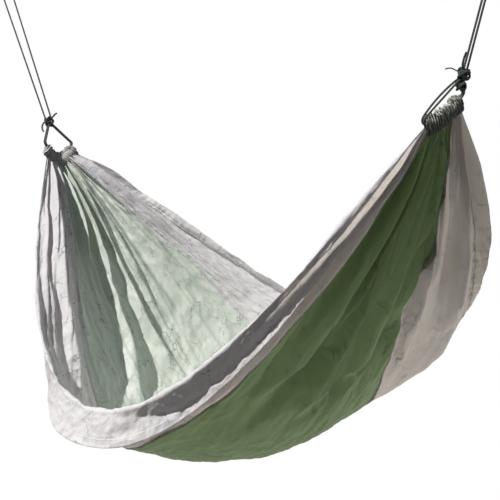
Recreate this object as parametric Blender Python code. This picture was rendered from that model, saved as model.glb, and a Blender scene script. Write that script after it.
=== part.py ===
# A gathered-end camping hammock of three sewn panels, hung by doubled ropes from two steel links.
# Metres, +Z up. The origin is where a hook bears inside the left link, and +X runs to the right link.

import math

import bpy
import bmesh
from mathutils import Vector
from mathutils.bvhtree import BVHTree

# Cloth, measured flat
CLOTH_WIDTH = 1.40            # across, from the near hem to the far hem
SIDE_PANEL_WIDTH = 0.30       # each grey side panel, hem included
COLLAR_WIDTH = 0.12           # what flops outwards beyond the near fold
HEM_WIDTH = 0.025
SEAM_WIDTH = 0.012
CLOTH_THICKNESS = 0.002       # the nylon is about 0.1 mm: this is what a solid panel takes
HEM_THICKNESS = 0.0032
SEAM_THICKNESS = 0.0032
JOIN_GAP = 0.0004             # between two sewn pieces
SEAT_GAP = 0.0003             # between other neighbours

# How the bed hangs. Places here are from the middle of the bed, at the height of its gathers.
LEFT_CHANNEL = [(-0.750, -0.1226, -0.007), (-0.750, -0.0696, -0.038), (-0.750, -0.018, -0.001)]
RIGHT_CHANNEL = [(0.745, -0.0655, -0.046), (0.770, -0.019, -0.016), (0.790, 0.0316, 0.0286)]
BAR_Y = 0.0192                # both bars lie over the hammock's centre of mass, so that it hangs in balance
LEFT_BAR = Vector((-1.1658, BAR_Y, 0.6193))
RIGHT_BAR = Vector((0.8754, BAR_Y, 0.3016))
LEFT_KNOT = Vector((-0.804, -0.070, 0.0865))
RIGHT_UPPER_KNOT = Vector((0.829, -0.013, 0.084))
RIGHT_LOWER_KNOT = Vector((0.818, -0.013, 0.048))

# Each rope: how far apart its strands lie along the bar, then what its front and back strand aim at
LEFT_ROPE_ENDS = (0.044, (-0.8120, -0.0800, 0.0960), (-0.8030, -0.0600, 0.0960))
RIGHT_ROPE_ENDS = (0.0, (0.8300, -0.0190, 0.0900), (0.8320, -0.0060, 0.0900))

# Which way the two strands of each gather cord lie side by side
LEFT_SIDE_BY_SIDE = (1, 0, 0)
RIGHT_SIDE_BY_SIDE = (0.89, -0.33, -0.31)

# The long lines of the cloth: flat place across, and its lowest point (x, y, z) before its sag leans.
# Then how its sag swells towards both gathers, how that differs between them, and how it leans to the right.
NEAR_FOLD = (COLLAR_WIDTH, (-0.018, -0.495, -0.818), -0.042, -0.146, -0.070)
NEAR_SEAM = (SIDE_PANEL_WIDTH, (-0.075, -0.373, -0.947), -0.204, 0.108, -0.013)
CENTRE_LINE = (CLOTH_WIDTH / 2, (-0.055, 0.047, -1.015), -0.113, 0.035, 0.203)
FAR_SEAM = (CLOTH_WIDTH - SIDE_PANEL_WIDTH, (0.021, 0.449, -0.865), -0.527, -0.147, 0.448)
FAR_BELLY = (CLOTH_WIDTH - SIDE_PANEL_WIDTH / 2, (0.113, 0.538, -0.764), -0.239, -0.056, 0.435)
FAR_EDGE = (CLOTH_WIDTH, (0.160, 0.581, -0.603), 0.233, -0.084, 0.355)
LONG_LINES = [NEAR_FOLD, NEAR_SEAM, CENTRE_LINE, FAR_SEAM, FAR_BELLY, FAR_EDGE]

# Pleats that run from gather to gather. Shares of the length run from 0 in the middle to 1 at a gather.
MAIN_FOLDS = 8
FOLD_DEPTH = 0.013            # at their deepest, a little way out of each channel
FOLD_DEPTH_AT_CHANNEL = 0.0022
FOLD_DEPTH_MIDDLE = 0.002
FOLD_GATHER_SHARE = 0.10      # the last share of the length, in which they draw together
FOLD_FADE_SHARE = 0.85        # the share in which they fade towards the middle
FOLD_STEEPNESS = 0.23         # at most this much depth for each unit of a crowded fold's width
FOLD_VARIETY = 0.22           # how unlike one another they are
VARIETY_PITCH = 0.37          # how often that comes round, per fold
VARIETY_START = 1.3
FOLD_DRIFT = 0.5              # how far they wander sideways, in radians of a fold
DRIFT_PITCH = 2.1             # how often they wander along the length
DRIFT_START = 0.8
FOLD_START = 0.05             # flat cloth before the first one, beside the near fold

# The near fold, and the collar that flops over it
FOLD_RADIUS = 0.009
COLLAR_TURN = math.radians(163)
COLLAR_FLARE = math.radians(42)
COLLAR_HANG = 0.058           # how far it hangs flat before it flares, at the right
COLLAR_LIFT = 0.010           # how much sooner it flares at the left
COLLAR_CHANGE = (0.02, 0.32)  # from the left hang to the right one, along the length
FLARE_BEND = 0.016            # over how much cloth it bends out
FLARE_RIGHT = (0.55, 0.70, 0.7)     # along the length from, to, and how much of the flare goes
FLARE_LEFT = (0.12, 0.48, 0.9)
COLLAR_GATHERING = 0.8        # how fast it narrows towards the gathers
FOLD_TIGHTENING = 0.35        # the fold's radius at a gather, as a share

# Channels and cords
CHANNEL_RADIUS = 0.0132
RUFFLE_DEPTH = 0.0022
RUFFLES = 8
BORE_RADIUS = 0.0071
CHANNEL_SIDES = 12
CHANNEL_MARGIN = 0.06         # the share of a channel's length at each of its mouths that holds no cloth
CORD_DIAMETER = 0.006
STRAND_GAP = 0.0012           # between the two strands of a doubled cord
LEG_RUN_OUT = 0.006           # how far a cord runs straight on where it leaves a channel
LEG_TURN = 0.011              # radius of its bend towards the knot
LEG_TURN_STEP = math.radians(30)
LEG_STEP = 0.014
CHANNEL_STEPS = 2 * RUFFLES
LAP_GAP = 0.0007              # rope to bar, with room for the rope's flats
LAP_STEPS = 8
BEND_REACH = 0.008
ROPE_STEP = 0.018
TAIL_STEP = 0.008

# Steel links
LINK_ROD = 0.008
LINK_BAR_HALF = 0.028         # half of the straight bar that the rope lies on
LINK_CORNER = 0.010
LINK_HEIGHT = 0.058           # from the bar to the top of the apex, rod middle to rod middle
LINK_APEX = 0.013

KNOT_CORE = 0.0146
KNOT_TURN = 0.0138            # radius of the turns drawn round a knot
TURN_THICKNESS = 0.0045       # radius of each turn: two strands pulled flat together
SMALL_KNOT_CORE = 0.0090
SMALL_KNOT_TURN = 0.0090

ROWS = 27                     # steps along the cloth
COLLAR_STRIPS = 8             # strips across each panel, hem and seam
SIDE_STRIPS = 7
CENTRE_STRIPS = 21
FAR_STRIPS = 10
EDGE_STRIPS = 2
END_CROWDING = 1.1            # how much closer together they are near the gathers


SWING_LINE = (RIGHT_BAR - LEFT_BAR).normalized()      # the hammock swings about the line through both bars
LINK_UP = Vector((-SWING_LINE.z, 0, SWING_LINE.x))
ORIGIN = LEFT_BAR + LINK_UP * (LINK_HEIGHT - LINK_ROD / 2)


def clear_scene():
    for old in list(bpy.data.objects):
        bpy.data.objects.remove(old, do_unlink=True)


def collection(name):
    made = bpy.data.collections.new(name)
    bpy.context.scene.collection.children.link(made)
    return made


def material(name, colour, roughness, metallic=0.0):
    made = bpy.data.materials.new(name)
    made.use_nodes = True
    shader = made.node_tree.nodes["Principled BSDF"]
    shader.inputs["Base Color"].default_value = (*colour, 1)
    shader.inputs["Roughness"].default_value = roughness
    shader.inputs["Metallic"].default_value = metallic
    made.diffuse_color = (*colour, 1)
    return made


def add_object(name, data, finish):
    made = bpy.data.objects.new(name, data)
    made.data.materials.append(finish)
    HAMMOCK.objects.link(made)
    return made


def mix(a, b, t):
    return a + (b - a) * t


def smooth(t):
    t = min(1.0, max(0.0, t))
    return t * t * (3 - 2 * t)


# Curves

def catmull(points, steps):
    """A smooth curve through the points, with so many steps from each to the next."""
    pts = [Vector(p) for p in points]
    pts = [pts[0] * 2 - pts[1]] + pts + [pts[-1] * 2 - pts[-2]]
    out = []
    for i in range(1, len(pts) - 2):
        for k in range(steps):
            t = k / steps
            a, b, c, d = pts[i - 1], pts[i], pts[i + 1], pts[i + 2]
            out.append(0.5 * (2 * b + (c - a) * t + (2 * a - 5 * b + 4 * c - d) * t * t
                              + (3 * b - a - 3 * c + d) * t ** 3))
    return out + [pts[-2]]


def even_points(points, spacing):
    """Points at about the given spacing along the smooth curve through the route's own points."""
    fine = catmull(points, 24)
    marks = [0.0]
    for a, b in zip(fine, fine[1:]):
        marks.append(marks[-1] + (b - a).length)
    count = max(2, round(marks[-1] / spacing))
    out, k = [], 0
    for i in range(count + 1):
        goal = marks[-1] * i / count
        while k < len(marks) - 2 and marks[k + 1] < goal:
            k += 1
        out.append(fine[k].lerp(fine[k + 1], (goal - marks[k]) / (marks[k + 1] - marks[k])))
    return out


def tube(name, points, radius, finish, cyclic=False, resolution=2):
    curve = bpy.data.curves.new(name, "CURVE")
    curve.dimensions = "3D"
    curve.bevel_depth = radius
    curve.bevel_resolution = resolution
    curve.use_fill_caps = not cyclic
    spline = curve.splines.new("POLY")
    spline.points.add(len(points) - 1)
    for target, p in zip(spline.points, points):
        target.co = (*(Vector(p) - ORIGIN), 1)
    spline.use_cyclic_u = cyclic
    return add_object(name, curve, finish)


# The bed's surface

def bow(path, t):
    """A point on the curve that passes through the three points of a channel."""
    a, b, c = (Vector(p) for p in path)
    pull = b * 2 - (a + c) / 2
    return a * (1 - t) ** 2 + pull * (2 * t * (1 - t)) + c * t * t


def channel_share(w):
    """Where a long line of the cloth at w meets the channel, from 0 at its near end to 1 at its far end."""
    body = max(0.0, (w - COLLAR_WIDTH) / (CLOTH_WIDTH - COLLAR_WIDTH))
    return mix(CHANNEL_MARGIN, 1 - CHANNEL_MARGIN, body)


def across(w, values):
    """Values given on the long lines, read smoothly at the flat place w."""
    places = [line[0] for line in LONG_LINES]
    i = max(k for k in range(len(places) - 1) if w >= places[k] or k == 0)
    slopes = []
    for k in (i, i + 1):
        lo, hi = max(0, k - 1), min(len(places) - 1, k + 1)
        slopes.append((values[hi] - values[lo]) / (places[hi] - places[lo]))
    span = places[i + 1] - places[i]
    t = (w - places[i]) / span
    h = [2 * t ** 3 - 3 * t * t + 1, t ** 3 - 2 * t * t + t, 3 * t * t - 2 * t ** 3, t ** 3 - t * t]
    return values[i] * h[0] + slopes[0] * (h[1] * span) + values[i + 1] * h[2] + slopes[1] * (h[3] * span)


def bed_point(u, w):
    """The bed without its pleats: u is -1 at the left gather and 1 at the right, w is the flat place."""
    left = bow(LEFT_CHANNEL, channel_share(w))
    right = bow(RIGHT_CHANNEL, channel_share(w))
    low = across(w, [Vector(line[1]) for line in LONG_LINES])
    swell, twist, lean = (across(w, [line[k] for line in LONG_LINES]) for k in (2, 3, 4))
    sag = (1 - u * u) * (1 + lean * u + swell * u * u + twist * u ** 3)
    return left.lerp(right, (u + 1) / 2) + (low - (left + right) / 2) * sag


def bed_frame(u, w):
    """Directions at a point of the bed: along, across to the far side, and out through the underside."""
    du, dw = 0.001, 0.002
    u0, u1 = max(-1.0, u - du), min(1.0, u + du)
    w0, w1 = max(COLLAR_WIDTH, w - dw), min(CLOTH_WIDTH, w + dw)
    along = (bed_point(u1, w) - bed_point(u0, w)).normalized()
    step = (bed_point(u, w1) - bed_point(u, w0)) / (w1 - w0)
    outwards = step.cross(along).normalized()
    return along, step, outwards


def crowding(u, w):
    """How much narrower the hanging cloth is than flat, from 1 at the middle towards 0 at the gathers."""
    return min(1.0, max(0.05, bed_frame(u, max(w, COLLAR_WIDTH))[1].length))


def fold_depth(u):
    drawn = 1 - abs(u)
    fade = smooth((drawn - FOLD_GATHER_SHARE * 0.7) / FOLD_FADE_SHARE)
    free = mix(FOLD_DEPTH, FOLD_DEPTH_MIDDLE, fade)
    return mix(FOLD_DEPTH_AT_CHANNEL, free, smooth(drawn / FOLD_GATHER_SHARE))


def pleat(u, w):
    """Height of the pleats above the plain bed. They drift a little and are not all alike."""
    turn = 2 * math.pi * MAIN_FOLDS * (w - COLLAR_WIDTH) / (CLOTH_WIDTH - COLLAR_WIDTH)
    uneven = 1 - FOLD_VARIETY * (1 - math.sin(turn * VARIETY_PITCH + VARIETY_START))
    width = (CLOTH_WIDTH - COLLAR_WIDTH) / MAIN_FOLDS * crowding(u, w)
    depth = min(fold_depth(u), FOLD_STEEPNESS * width)
    return depth * uneven * math.sin(turn + FOLD_DRIFT * math.sin(DRIFT_PITCH * u + DRIFT_START))


def ramp(u, start, end):
    return smooth((u - start) / (end - start))


def lost(u, start, end, share):
    return 1 - share * ramp(u, start, end)


def collar_shape(u, out):
    """The collar's course at u, in metres along the wall (up) and away from it (out)."""
    size = min(1.0, crowding(u, COLLAR_WIDTH) ** COLLAR_GATHERING)
    tightness = mix(FOLD_TIGHTENING, 1.0, size)
    hang = mix(-COLLAR_LIFT, COLLAR_HANG, ramp(u, *COLLAR_CHANGE))
    flare = COLLAR_FLARE * lost(u, *FLARE_RIGHT) * lost(-u, *FLARE_LEFT)
    steps = 24
    up, away = 0.0, 0.0
    turned = FOLD_RADIUS * COLLAR_TURN
    for i in range(steps):
        s = out * (i + 0.5) / steps
        angle = COLLAR_TURN * min(1.0, s / turned) - flare * smooth((s - turned - hang) / FLARE_BEND)
        step = out / steps * size * (tightness if s < turned else 1.0)
        up += math.cos(angle) * step
        away += math.sin(angle) * step
    return up, away


def cloth_point(u, w):
    if w >= COLLAR_WIDTH:
        along, step, outwards = bed_frame(u, w)
        near = smooth((w - COLLAR_WIDTH) / FOLD_START)
        return bed_point(u, w) + outwards * (pleat(u, w) * near)
    along, step, outwards = bed_frame(u, COLLAR_WIDTH)
    up, away = collar_shape(u, COLLAR_WIDTH - w)
    return bed_point(u, COLLAR_WIDTH) - step.normalized() * up + outwards * away


def distance_to(path, p):
    return min((p - bow(path, k / 60)).length for k in range(61))


def cloth_end(path, side, w):
    """Where the cloth at w meets the outside of its channel, as a value of u."""
    clear = CHANNEL_RADIUS + 2 * SEAT_GAP
    u = 1.0
    while distance_to(path, cloth_point(side * u, w)) < clear and u > 0.9:
        u -= 0.0003
    return side * u


def stations():
    """Steps along the cloth, from 0 to 1, closer together near the gathers where the pleats are deep."""
    return [0.5 + 0.5 * math.sin(END_CROWDING * (2 * k / ROWS - 1)) / math.sin(END_CROWDING)
            for k in range(ROWS + 1)]


def cloth_normal(u, w):
    du, dw = 0.0015, 0.002
    along = cloth_point(min(1.0, u + du), w) - cloth_point(max(-1.0, u - du), w)
    step = cloth_point(u, min(CLOTH_WIDTH, w + dw)) - cloth_point(u, max(0.0, w - dw))
    return step.cross(along).normalized()


def cloth(name, places, thickness, finish):
    """A sheet between two long edges. places gives, for u, the flat places from one edge to the other."""
    mesh = bpy.data.meshes.new(name)
    bm = bmesh.new()
    columns = len(places(0.0))
    ends = []
    for c in range(columns):
        left = cloth_end(LEFT_CHANNEL, -1, places(-1.0)[c])
        ends.append((left, cloth_end(RIGHT_CHANNEL, 1, places(1.0)[c])))
    under, over = [], []
    for s in stations():
        low, high = [], []
        for c in range(columns):
            u = mix(ends[c][0], ends[c][1], s)
            w = places(u)[c]
            point, lift = cloth_point(u, w) - ORIGIN, cloth_normal(u, w) * (thickness / 2)
            low.append(bm.verts.new(point + lift))
            high.append(bm.verts.new(point - lift))
        under.append(low)
        over.append(high)
    for r in range(ROWS):
        for c in range(columns - 1):
            bm.faces.new((under[r][c], under[r][c + 1], under[r + 1][c + 1], under[r + 1][c]))
            bm.faces.new((over[r][c], over[r + 1][c], over[r + 1][c + 1], over[r][c + 1]))
        for c in (0, columns - 1):
            bm.faces.new((under[r][c], under[r + 1][c], over[r + 1][c], over[r][c]))
    for r in (0, ROWS):
        for c in range(columns - 1):
            bm.faces.new((under[r][c], over[r][c], over[r][c + 1], under[r][c + 1]))
    bmesh.ops.recalc_face_normals(bm, faces=bm.faces)
    bm.to_mesh(mesh)
    bm.free()
    mesh.shade_smooth()
    return add_object(name, mesh, finish)


def spread(low, high, count):
    return [mix(low, high, k / count) for k in range(count + 1)]


def join_gap(u, w):
    """The flat width that leaves the gap between two sewn pieces near w, where the cloth is most crowded."""
    return JOIN_GAP / min(crowding(u, w - SEAM_WIDTH), crowding(u, w), crowding(u, w + SEAM_WIDTH))


def seam_half(u, w):
    return max(SEAM_WIDTH / 2, SEAM_THICKNESS / 2 / crowding(u, w))


def make_bed(nylon_grey, nylon_green, hem_finish, seam_finish):
    far_edge = CLOTH_WIDTH
    near_seam, far_seam = SIDE_PANEL_WIDTH, CLOTH_WIDTH - SIDE_PANEL_WIDTH

    def near_panel(u):
        inner = near_seam - seam_half(u, near_seam) - join_gap(u, near_seam)
        outer = HEM_WIDTH + join_gap(u, HEM_WIDTH)
        return spread(outer, COLLAR_WIDTH, COLLAR_STRIPS) + spread(COLLAR_WIDTH, inner, SIDE_STRIPS)[1:]

    def centre_panel(u):
        low = near_seam + seam_half(u, near_seam) + join_gap(u, near_seam)
        high = far_seam - seam_half(u, far_seam) - join_gap(u, far_seam)
        return spread(low, high, CENTRE_STRIPS)

    def far_panel(u):
        low = far_seam + seam_half(u, far_seam) + join_gap(u, far_seam)
        return spread(low, far_edge - HEM_WIDTH - join_gap(u, far_edge), FAR_STRIPS)

    cloth("near_side_panel", near_panel, CLOTH_THICKNESS, nylon_grey)
    cloth("centre_panel", centre_panel, CLOTH_THICKNESS, nylon_green)
    cloth("far_side_panel", far_panel, CLOTH_THICKNESS, nylon_grey)
    cloth("near_hem", lambda u: spread(0.0, HEM_WIDTH, EDGE_STRIPS), HEM_THICKNESS, hem_finish)
    cloth("far_hem", lambda u: spread(far_edge - HEM_WIDTH, far_edge, EDGE_STRIPS), HEM_THICKNESS, hem_finish)
    for name, w in (("near_seam", near_seam), ("far_seam", far_seam)):
        strip = lambda u, w=w: spread(w - seam_half(u, w), w + seam_half(u, w), EDGE_STRIPS)
        cloth(name, strip, SEAM_THICKNESS, seam_finish)


# Channels

def sleeve(name, path, finish):
    """A sleeve of gathered cloth: ruffles outside, and a plain bore for the doubled cord."""
    sides, rings = CHANNEL_SIDES, 2 * RUFFLES
    mesh = bpy.data.meshes.new(name)
    bm = bmesh.new()
    outside, inside = [], []
    for k in range(rings + 1):
        t = k / rings
        middle = bow(path, t)
        ahead = (bow(path, min(1, t + 0.01)) - bow(path, max(0, t - 0.01))).normalized()
        side = ahead.cross(Vector((1, 0, 0))).normalized()
        top = side.cross(ahead)
        outer = CHANNEL_RADIUS - (RUFFLE_DEPTH if k % 2 == 0 else 0)
        for radius, keep in ((outer, outside), (BORE_RADIUS, inside)):
            ring = []
            for j in range(sides):
                a = 2 * math.pi * j / sides
                ring.append(bm.verts.new(middle + (side * math.cos(a) + top * math.sin(a)) * radius - ORIGIN))
            keep.append(ring)
    for k in range(rings):
        for j in range(sides):
            n = (j + 1) % sides
            bm.faces.new((outside[k][j], outside[k][n], outside[k + 1][n], outside[k + 1][j]))
            bm.faces.new((inside[k][n], inside[k][j], inside[k + 1][j], inside[k + 1][n]))
    for k in (0, rings):
        for j in range(sides):
            n = (j + 1) % sides
            bm.faces.new((outside[k][n], outside[k][j], inside[k][j], inside[k][n]))
    bmesh.ops.recalc_face_normals(bm, faces=bm.faces)
    bm.to_mesh(mesh)
    bm.free()
    return add_object(name, mesh, finish)


# Knots

def knot_turn(name, place, axis, ring):
    bpy.ops.mesh.primitive_torus_add(major_radius=ring, minor_radius=TURN_THICKNESS, major_segments=14,
                                     minor_segments=8)
    turn = bpy.context.object
    turn.name = name
    turn.location = place
    turn.rotation_euler = Vector((0, 0, 1)).rotation_difference(axis.normalized()).to_euler()
    turn.hide_render = True
    turn.display_type = "WIRE"
    for holder in list(turn.users_collection):
        holder.objects.unlink(turn)
    CUTTERS.objects.link(turn)
    return turn


def knot(name, centre, axis, core_radius, turns, finish):
    """A pulled-tight knot: a round core with cord turns drawn over it, all one solid."""
    mesh = bpy.data.meshes.new(name)
    bm = bmesh.new()
    bmesh.ops.create_uvsphere(bm, u_segments=14, v_segments=9, radius=core_radius)
    bm.to_mesh(mesh)
    bm.free()
    core = add_object(name, mesh, finish)
    core.location = centre - ORIGIN
    along = Vector(axis).normalized()
    for shift, tilt, ring in turns:
        joined = core.modifiers.new("Turn", "BOOLEAN")
        joined.operation = "UNION"
        joined.object = knot_turn(name + "_turn", core.location + along * shift, along + Vector(tilt), ring)
    return core


# Steel links

def link_course():
    """The rod's middle line as (along the bar, up) pairs: a triangle with round corners."""
    corner = Vector((LINK_BAR_HALF, LINK_CORNER))
    apex = Vector((0, LINK_HEIGHT - LINK_APEX))
    reach = apex - corner
    tilt = math.atan2(reach.y, reach.x) - math.acos((LINK_CORNER - LINK_APEX) / reach.length)
    half = []
    for k in range(7):
        a = mix(-math.pi / 2, tilt, k / 6)
        half.append(corner + Vector((math.cos(a), math.sin(a))) * LINK_CORNER)
    for k in range(6):
        a = mix(tilt, math.pi / 2, k / 5)
        half.append(apex + Vector((math.cos(a), math.sin(a))) * LINK_APEX)
    other = [Vector((-p.x, p.y)) for p in reversed(half[:-1])]
    return half + other


def steel_link(name, bar, finish):
    points = [bar + SWING_LINE * p.x + LINK_UP * p.y for p in link_course()]
    return tube(name, points, LINK_ROD / 2, finish, cyclic=True, resolution=4)


# Seats: what ends at a knot stops a seat's gap short of it

def solid_of(thing):
    depsgraph = bpy.context.evaluated_depsgraph_get()
    mesh = thing.evaluated_get(depsgraph).to_mesh()
    corners = [thing.matrix_world @ v.co + ORIGIN for v in mesh.vertices]
    return corners, BVHTree.FromPolygons(corners, [tuple(face.vertices) for face in mesh.polygons])


def seat(tree, start, aim, strands=(Vector(),), reach=0.0):
    """The end of a straight cord from start towards aim, leaving room for its strands and a fold."""
    heading = (aim - start).normalized()
    side = heading.orthogonal().normalized()
    other = heading.cross(side)
    free = (aim - start).length
    for strand in strands:
        for share in (0.0, 0.55, 1.1):
            for k in range(12):
                a = 2 * math.pi * k / 12
                edge = (side * math.cos(a) + other * math.sin(a)) * (share * CORD_DIAMETER / 2)
                hit = tree.ray_cast(start + strand + edge, heading)
                if hit[0] is not None:
                    free = min(free, hit[3])
    return start + heading * (free - SEAT_GAP - reach)


def slide_up_to(moving, still):
    """Slide one knot straight towards another until they lie a seat's gap apart."""
    heading = (still.matrix_world.translation - moving.matrix_world.translation).normalized()
    corners, tree = solid_of(moving)
    still_corners, still_tree = solid_of(still)
    runs = [still_tree.ray_cast(p, heading) for p in corners]
    runs += [tree.ray_cast(p, -heading) for p in still_corners]
    moving.location += heading * (min(run[3] for run in runs if run[0] is not None) - SEAT_GAP)
    bpy.context.view_layer.update()


# Ropes and cords: their points are from the middle of the bed, as the places above are

def bend(a, corner, b, steps):
    return [a.lerp(corner, k / steps).lerp(corner.lerp(b, k / steps), k / steps) for k in range(steps + 1)]


def rope_leg(lap_end, aim, tree):
    """Off the bar, round an easy bend, then straight to the knot."""
    corner = lap_end - LINK_UP * BEND_REACH
    pull = (aim - corner).normalized()
    straight = corner + pull * BEND_REACH
    knot_end = seat(tree, straight, aim)
    count = round((knot_end - straight).length / ROPE_STEP)
    leg = [straight.lerp(knot_end, k / count) for k in range(1, count + 1)]
    return bend(lap_end, corner, straight, 3) + leg


def rope_course(bar, spread_out, front_aim, back_aim, tree):
    """From the knot up to the bar, over it from front to back, and down to the knot again."""
    radius = (LINK_ROD + CORD_DIAMETER) / 2 + LAP_GAP
    lap = []
    for k in range(LAP_STEPS + 1):
        turn = math.pi * k / LAP_STEPS
        along = SWING_LINE * (mix(-0.5, 0.5, smooth(k / LAP_STEPS)) * spread_out)
        spoke = Vector((0, -math.cos(turn), 0)) + LINK_UP * math.sin(turn)
        lap.append(bar + along + spoke * radius)
    front = rope_leg(lap[0], Vector(front_aim), tree)
    back = rope_leg(lap[-1], Vector(back_aim), tree)
    return front[::-1] + lap[1:-1] + back


def leg(mouth, out, aim, tree, strands, reach):
    """Straight out of a channel's mouth, round a bend, and straight on to the knot."""
    start = mouth + out * LEG_RUN_OUT
    side = aim - start
    side = (side - out * side.dot(out)).normalized()
    points, turned, miss = [], 0.0, math.pi
    while True:
        point = start + (side * (1 - math.cos(turned)) + out * math.sin(turned)) * LEG_TURN
        heading = side * math.sin(turned) + out * math.cos(turned)
        if heading.angle(aim - point) > miss:
            break
        miss = heading.angle(aim - point)
        points.append(point)
        turned += LEG_TURN_STEP
    knot_end = seat(tree, points[-1], aim, strands, reach)
    count = max(1, round((knot_end - points[-1]).length / LEG_STEP))
    return points + [points[-1].lerp(knot_end, k / count) for k in range(1, count + 1)]


def middle_of(thing):
    return thing.matrix_world.translation + ORIGIN


def gather_cord(name, path, near_knot, far_knot, side_by_side, finish):
    """One cord laid double, from the knot through the channel and back, where it folds and returns."""
    inside = [bow(path, k / CHANNEL_STEPS) for k in range(CHANNEL_STEPS + 1)]
    shift = Vector(side_by_side).normalized() * ((CORD_DIAMETER + STRAND_GAP) / 2)
    strands = (-shift, Vector(), shift)
    fold_reach = shift.length + CORD_DIAMETER / 2
    near = leg(inside[0], (inside[0] - bow(path, 0.04)).normalized(), middle_of(near_knot),
               solid_of(near_knot)[1], strands, 0.0)
    far = leg(inside[-1], (inside[-1] - bow(path, 0.96)).normalized(), middle_of(far_knot),
              solid_of(far_knot)[1], strands, fold_reach)
    course = near[::-1] + inside + far
    ahead = (course[-1] - course[-2]).normalized()
    fold = [course[-1] + ahead * (shift.length * math.sin(a)) - shift * math.cos(a)
            for a in (math.pi / 4, math.pi / 2, math.pi * 3 / 4)]
    route = [p - shift for p in course] + fold + [p + shift for p in reversed(course)]
    return tube(name, route, CORD_DIAMETER / 2, finish)


def make_knots(finish):
    turns = [(0.006, (0.3, 0.2, 0), KNOT_TURN), (-0.006, (-0.3, 0.1, 0.1), KNOT_TURN),
             (0, (1.2, 0.9, 0), KNOT_TURN + 0.0005)]
    small_turns = [(0.003, (0.2, 0.5, 0), SMALL_KNOT_TURN), (-0.002, (0.6, -0.9, 0), SMALL_KNOT_TURN)]
    left = knot("left_knot", LEFT_KNOT, (-0.4, 0.0, 0.9), KNOT_CORE, turns, finish)
    upper = knot("right_upper_knot", RIGHT_UPPER_KNOT, (0.3, 0.0, 0.95), KNOT_CORE, turns, finish)
    lower = knot("right_lower_knot", RIGHT_LOWER_KNOT, (0.3, 0.0, 0.95), SMALL_KNOT_CORE, small_turns, finish)
    bpy.context.view_layer.update()
    slide_up_to(lower, upper)
    return left, upper, lower


TAILS = {
    "left_tail_long": [(-0.7830, -0.0700, 0.1030), (-0.7740, -0.0700, 0.1090), (-0.7640, -0.0700, 0.1130)],
    "left_tail_short": [(-0.8270, -0.0700, 0.0880), (-0.8390, -0.0700, 0.0800), (-0.8430, -0.0700, 0.0660),
                        (-0.8370, -0.0700, 0.0540)],
    "right_tail_long": [(0.8370, -0.0340, 0.1060), (0.8430, -0.0380, 0.1180), (0.8510, -0.0400, 0.1340)],
    "right_tail_short": [(0.8070, -0.0240, 0.0970), (0.7960, -0.0260, 0.1020), (0.7820, -0.0270, 0.1010)],
}


def make_cords(finish):
    left, upper, lower = make_knots(finish)
    for name, bar, (spread_out, front_aim, back_aim), end in (
            ("left_rope", LEFT_BAR, LEFT_ROPE_ENDS, left), ("right_rope", RIGHT_BAR, RIGHT_ROPE_ENDS, upper)):
        course = rope_course(bar, spread_out, front_aim, back_aim, solid_of(end)[1])
        tube(name, course, CORD_DIAMETER / 2, finish)
    gather_cord("left_gather_cord", LEFT_CHANNEL, left, left, LEFT_SIDE_BY_SIDE, finish)
    gather_cord("right_gather_cord", RIGHT_CHANNEL, upper, lower, RIGHT_SIDE_BY_SIDE, finish)
    for name, points in TAILS.items():
        holder = left if name.startswith("left") else upper
        root = seat(solid_of(holder)[1], Vector(points[0]), middle_of(holder))
        tube(name, even_points([root] + points, TAIL_STEP), CORD_DIAMETER / 2, finish)


def hang_from(axis_empty, things):
    for thing in things:
        thing.parent = axis_empty
        thing.matrix_parent_inverse = axis_empty.matrix_world.inverted()


clear_scene()
HAMMOCK = collection("hammock")
CUTTERS = collection("cutters")

nylon_grey = material("grey nylon", (0.62, 0.60, 0.58), 0.55)
nylon_green = material("green nylon", (0.22, 0.30, 0.16), 0.55)
hem_nylon = material("hem nylon", (0.40, 0.38, 0.36), 0.6)
seam_nylon = material("felled seam", (0.30, 0.34, 0.26), 0.6)
channel_nylon = material("gathered nylon", (0.58, 0.57, 0.55), 0.6)
rope_cord = material("dark green cord", (0.035, 0.055, 0.045), 0.7)
steel = material("zinc plated steel", (0.62, 0.63, 0.64), 0.35, 1.0)

make_bed(nylon_grey, nylon_green, hem_nylon, seam_nylon)
sleeve("left_channel", LEFT_CHANNEL, channel_nylon)
sleeve("right_channel", RIGHT_CHANNEL, channel_nylon)
make_cords(rope_cord)

swing_axis = bpy.data.objects.new("swing_axis", None)
swing_axis.location = LEFT_BAR - ORIGIN
swing_axis.rotation_euler = SWING_LINE.to_track_quat("X", "Z").to_euler()
HAMMOCK.objects.link(swing_axis)
bpy.context.view_layer.update()
hang_from(swing_axis, [thing for thing in HAMMOCK.objects if thing.type != "EMPTY"])

steel_link("left_link", LEFT_BAR, steel)
steel_link("right_link", RIGHT_BAR, steel)
print("made", len([thing for thing in HAMMOCK.objects if thing.type != "EMPTY"]), "pieces")
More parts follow.
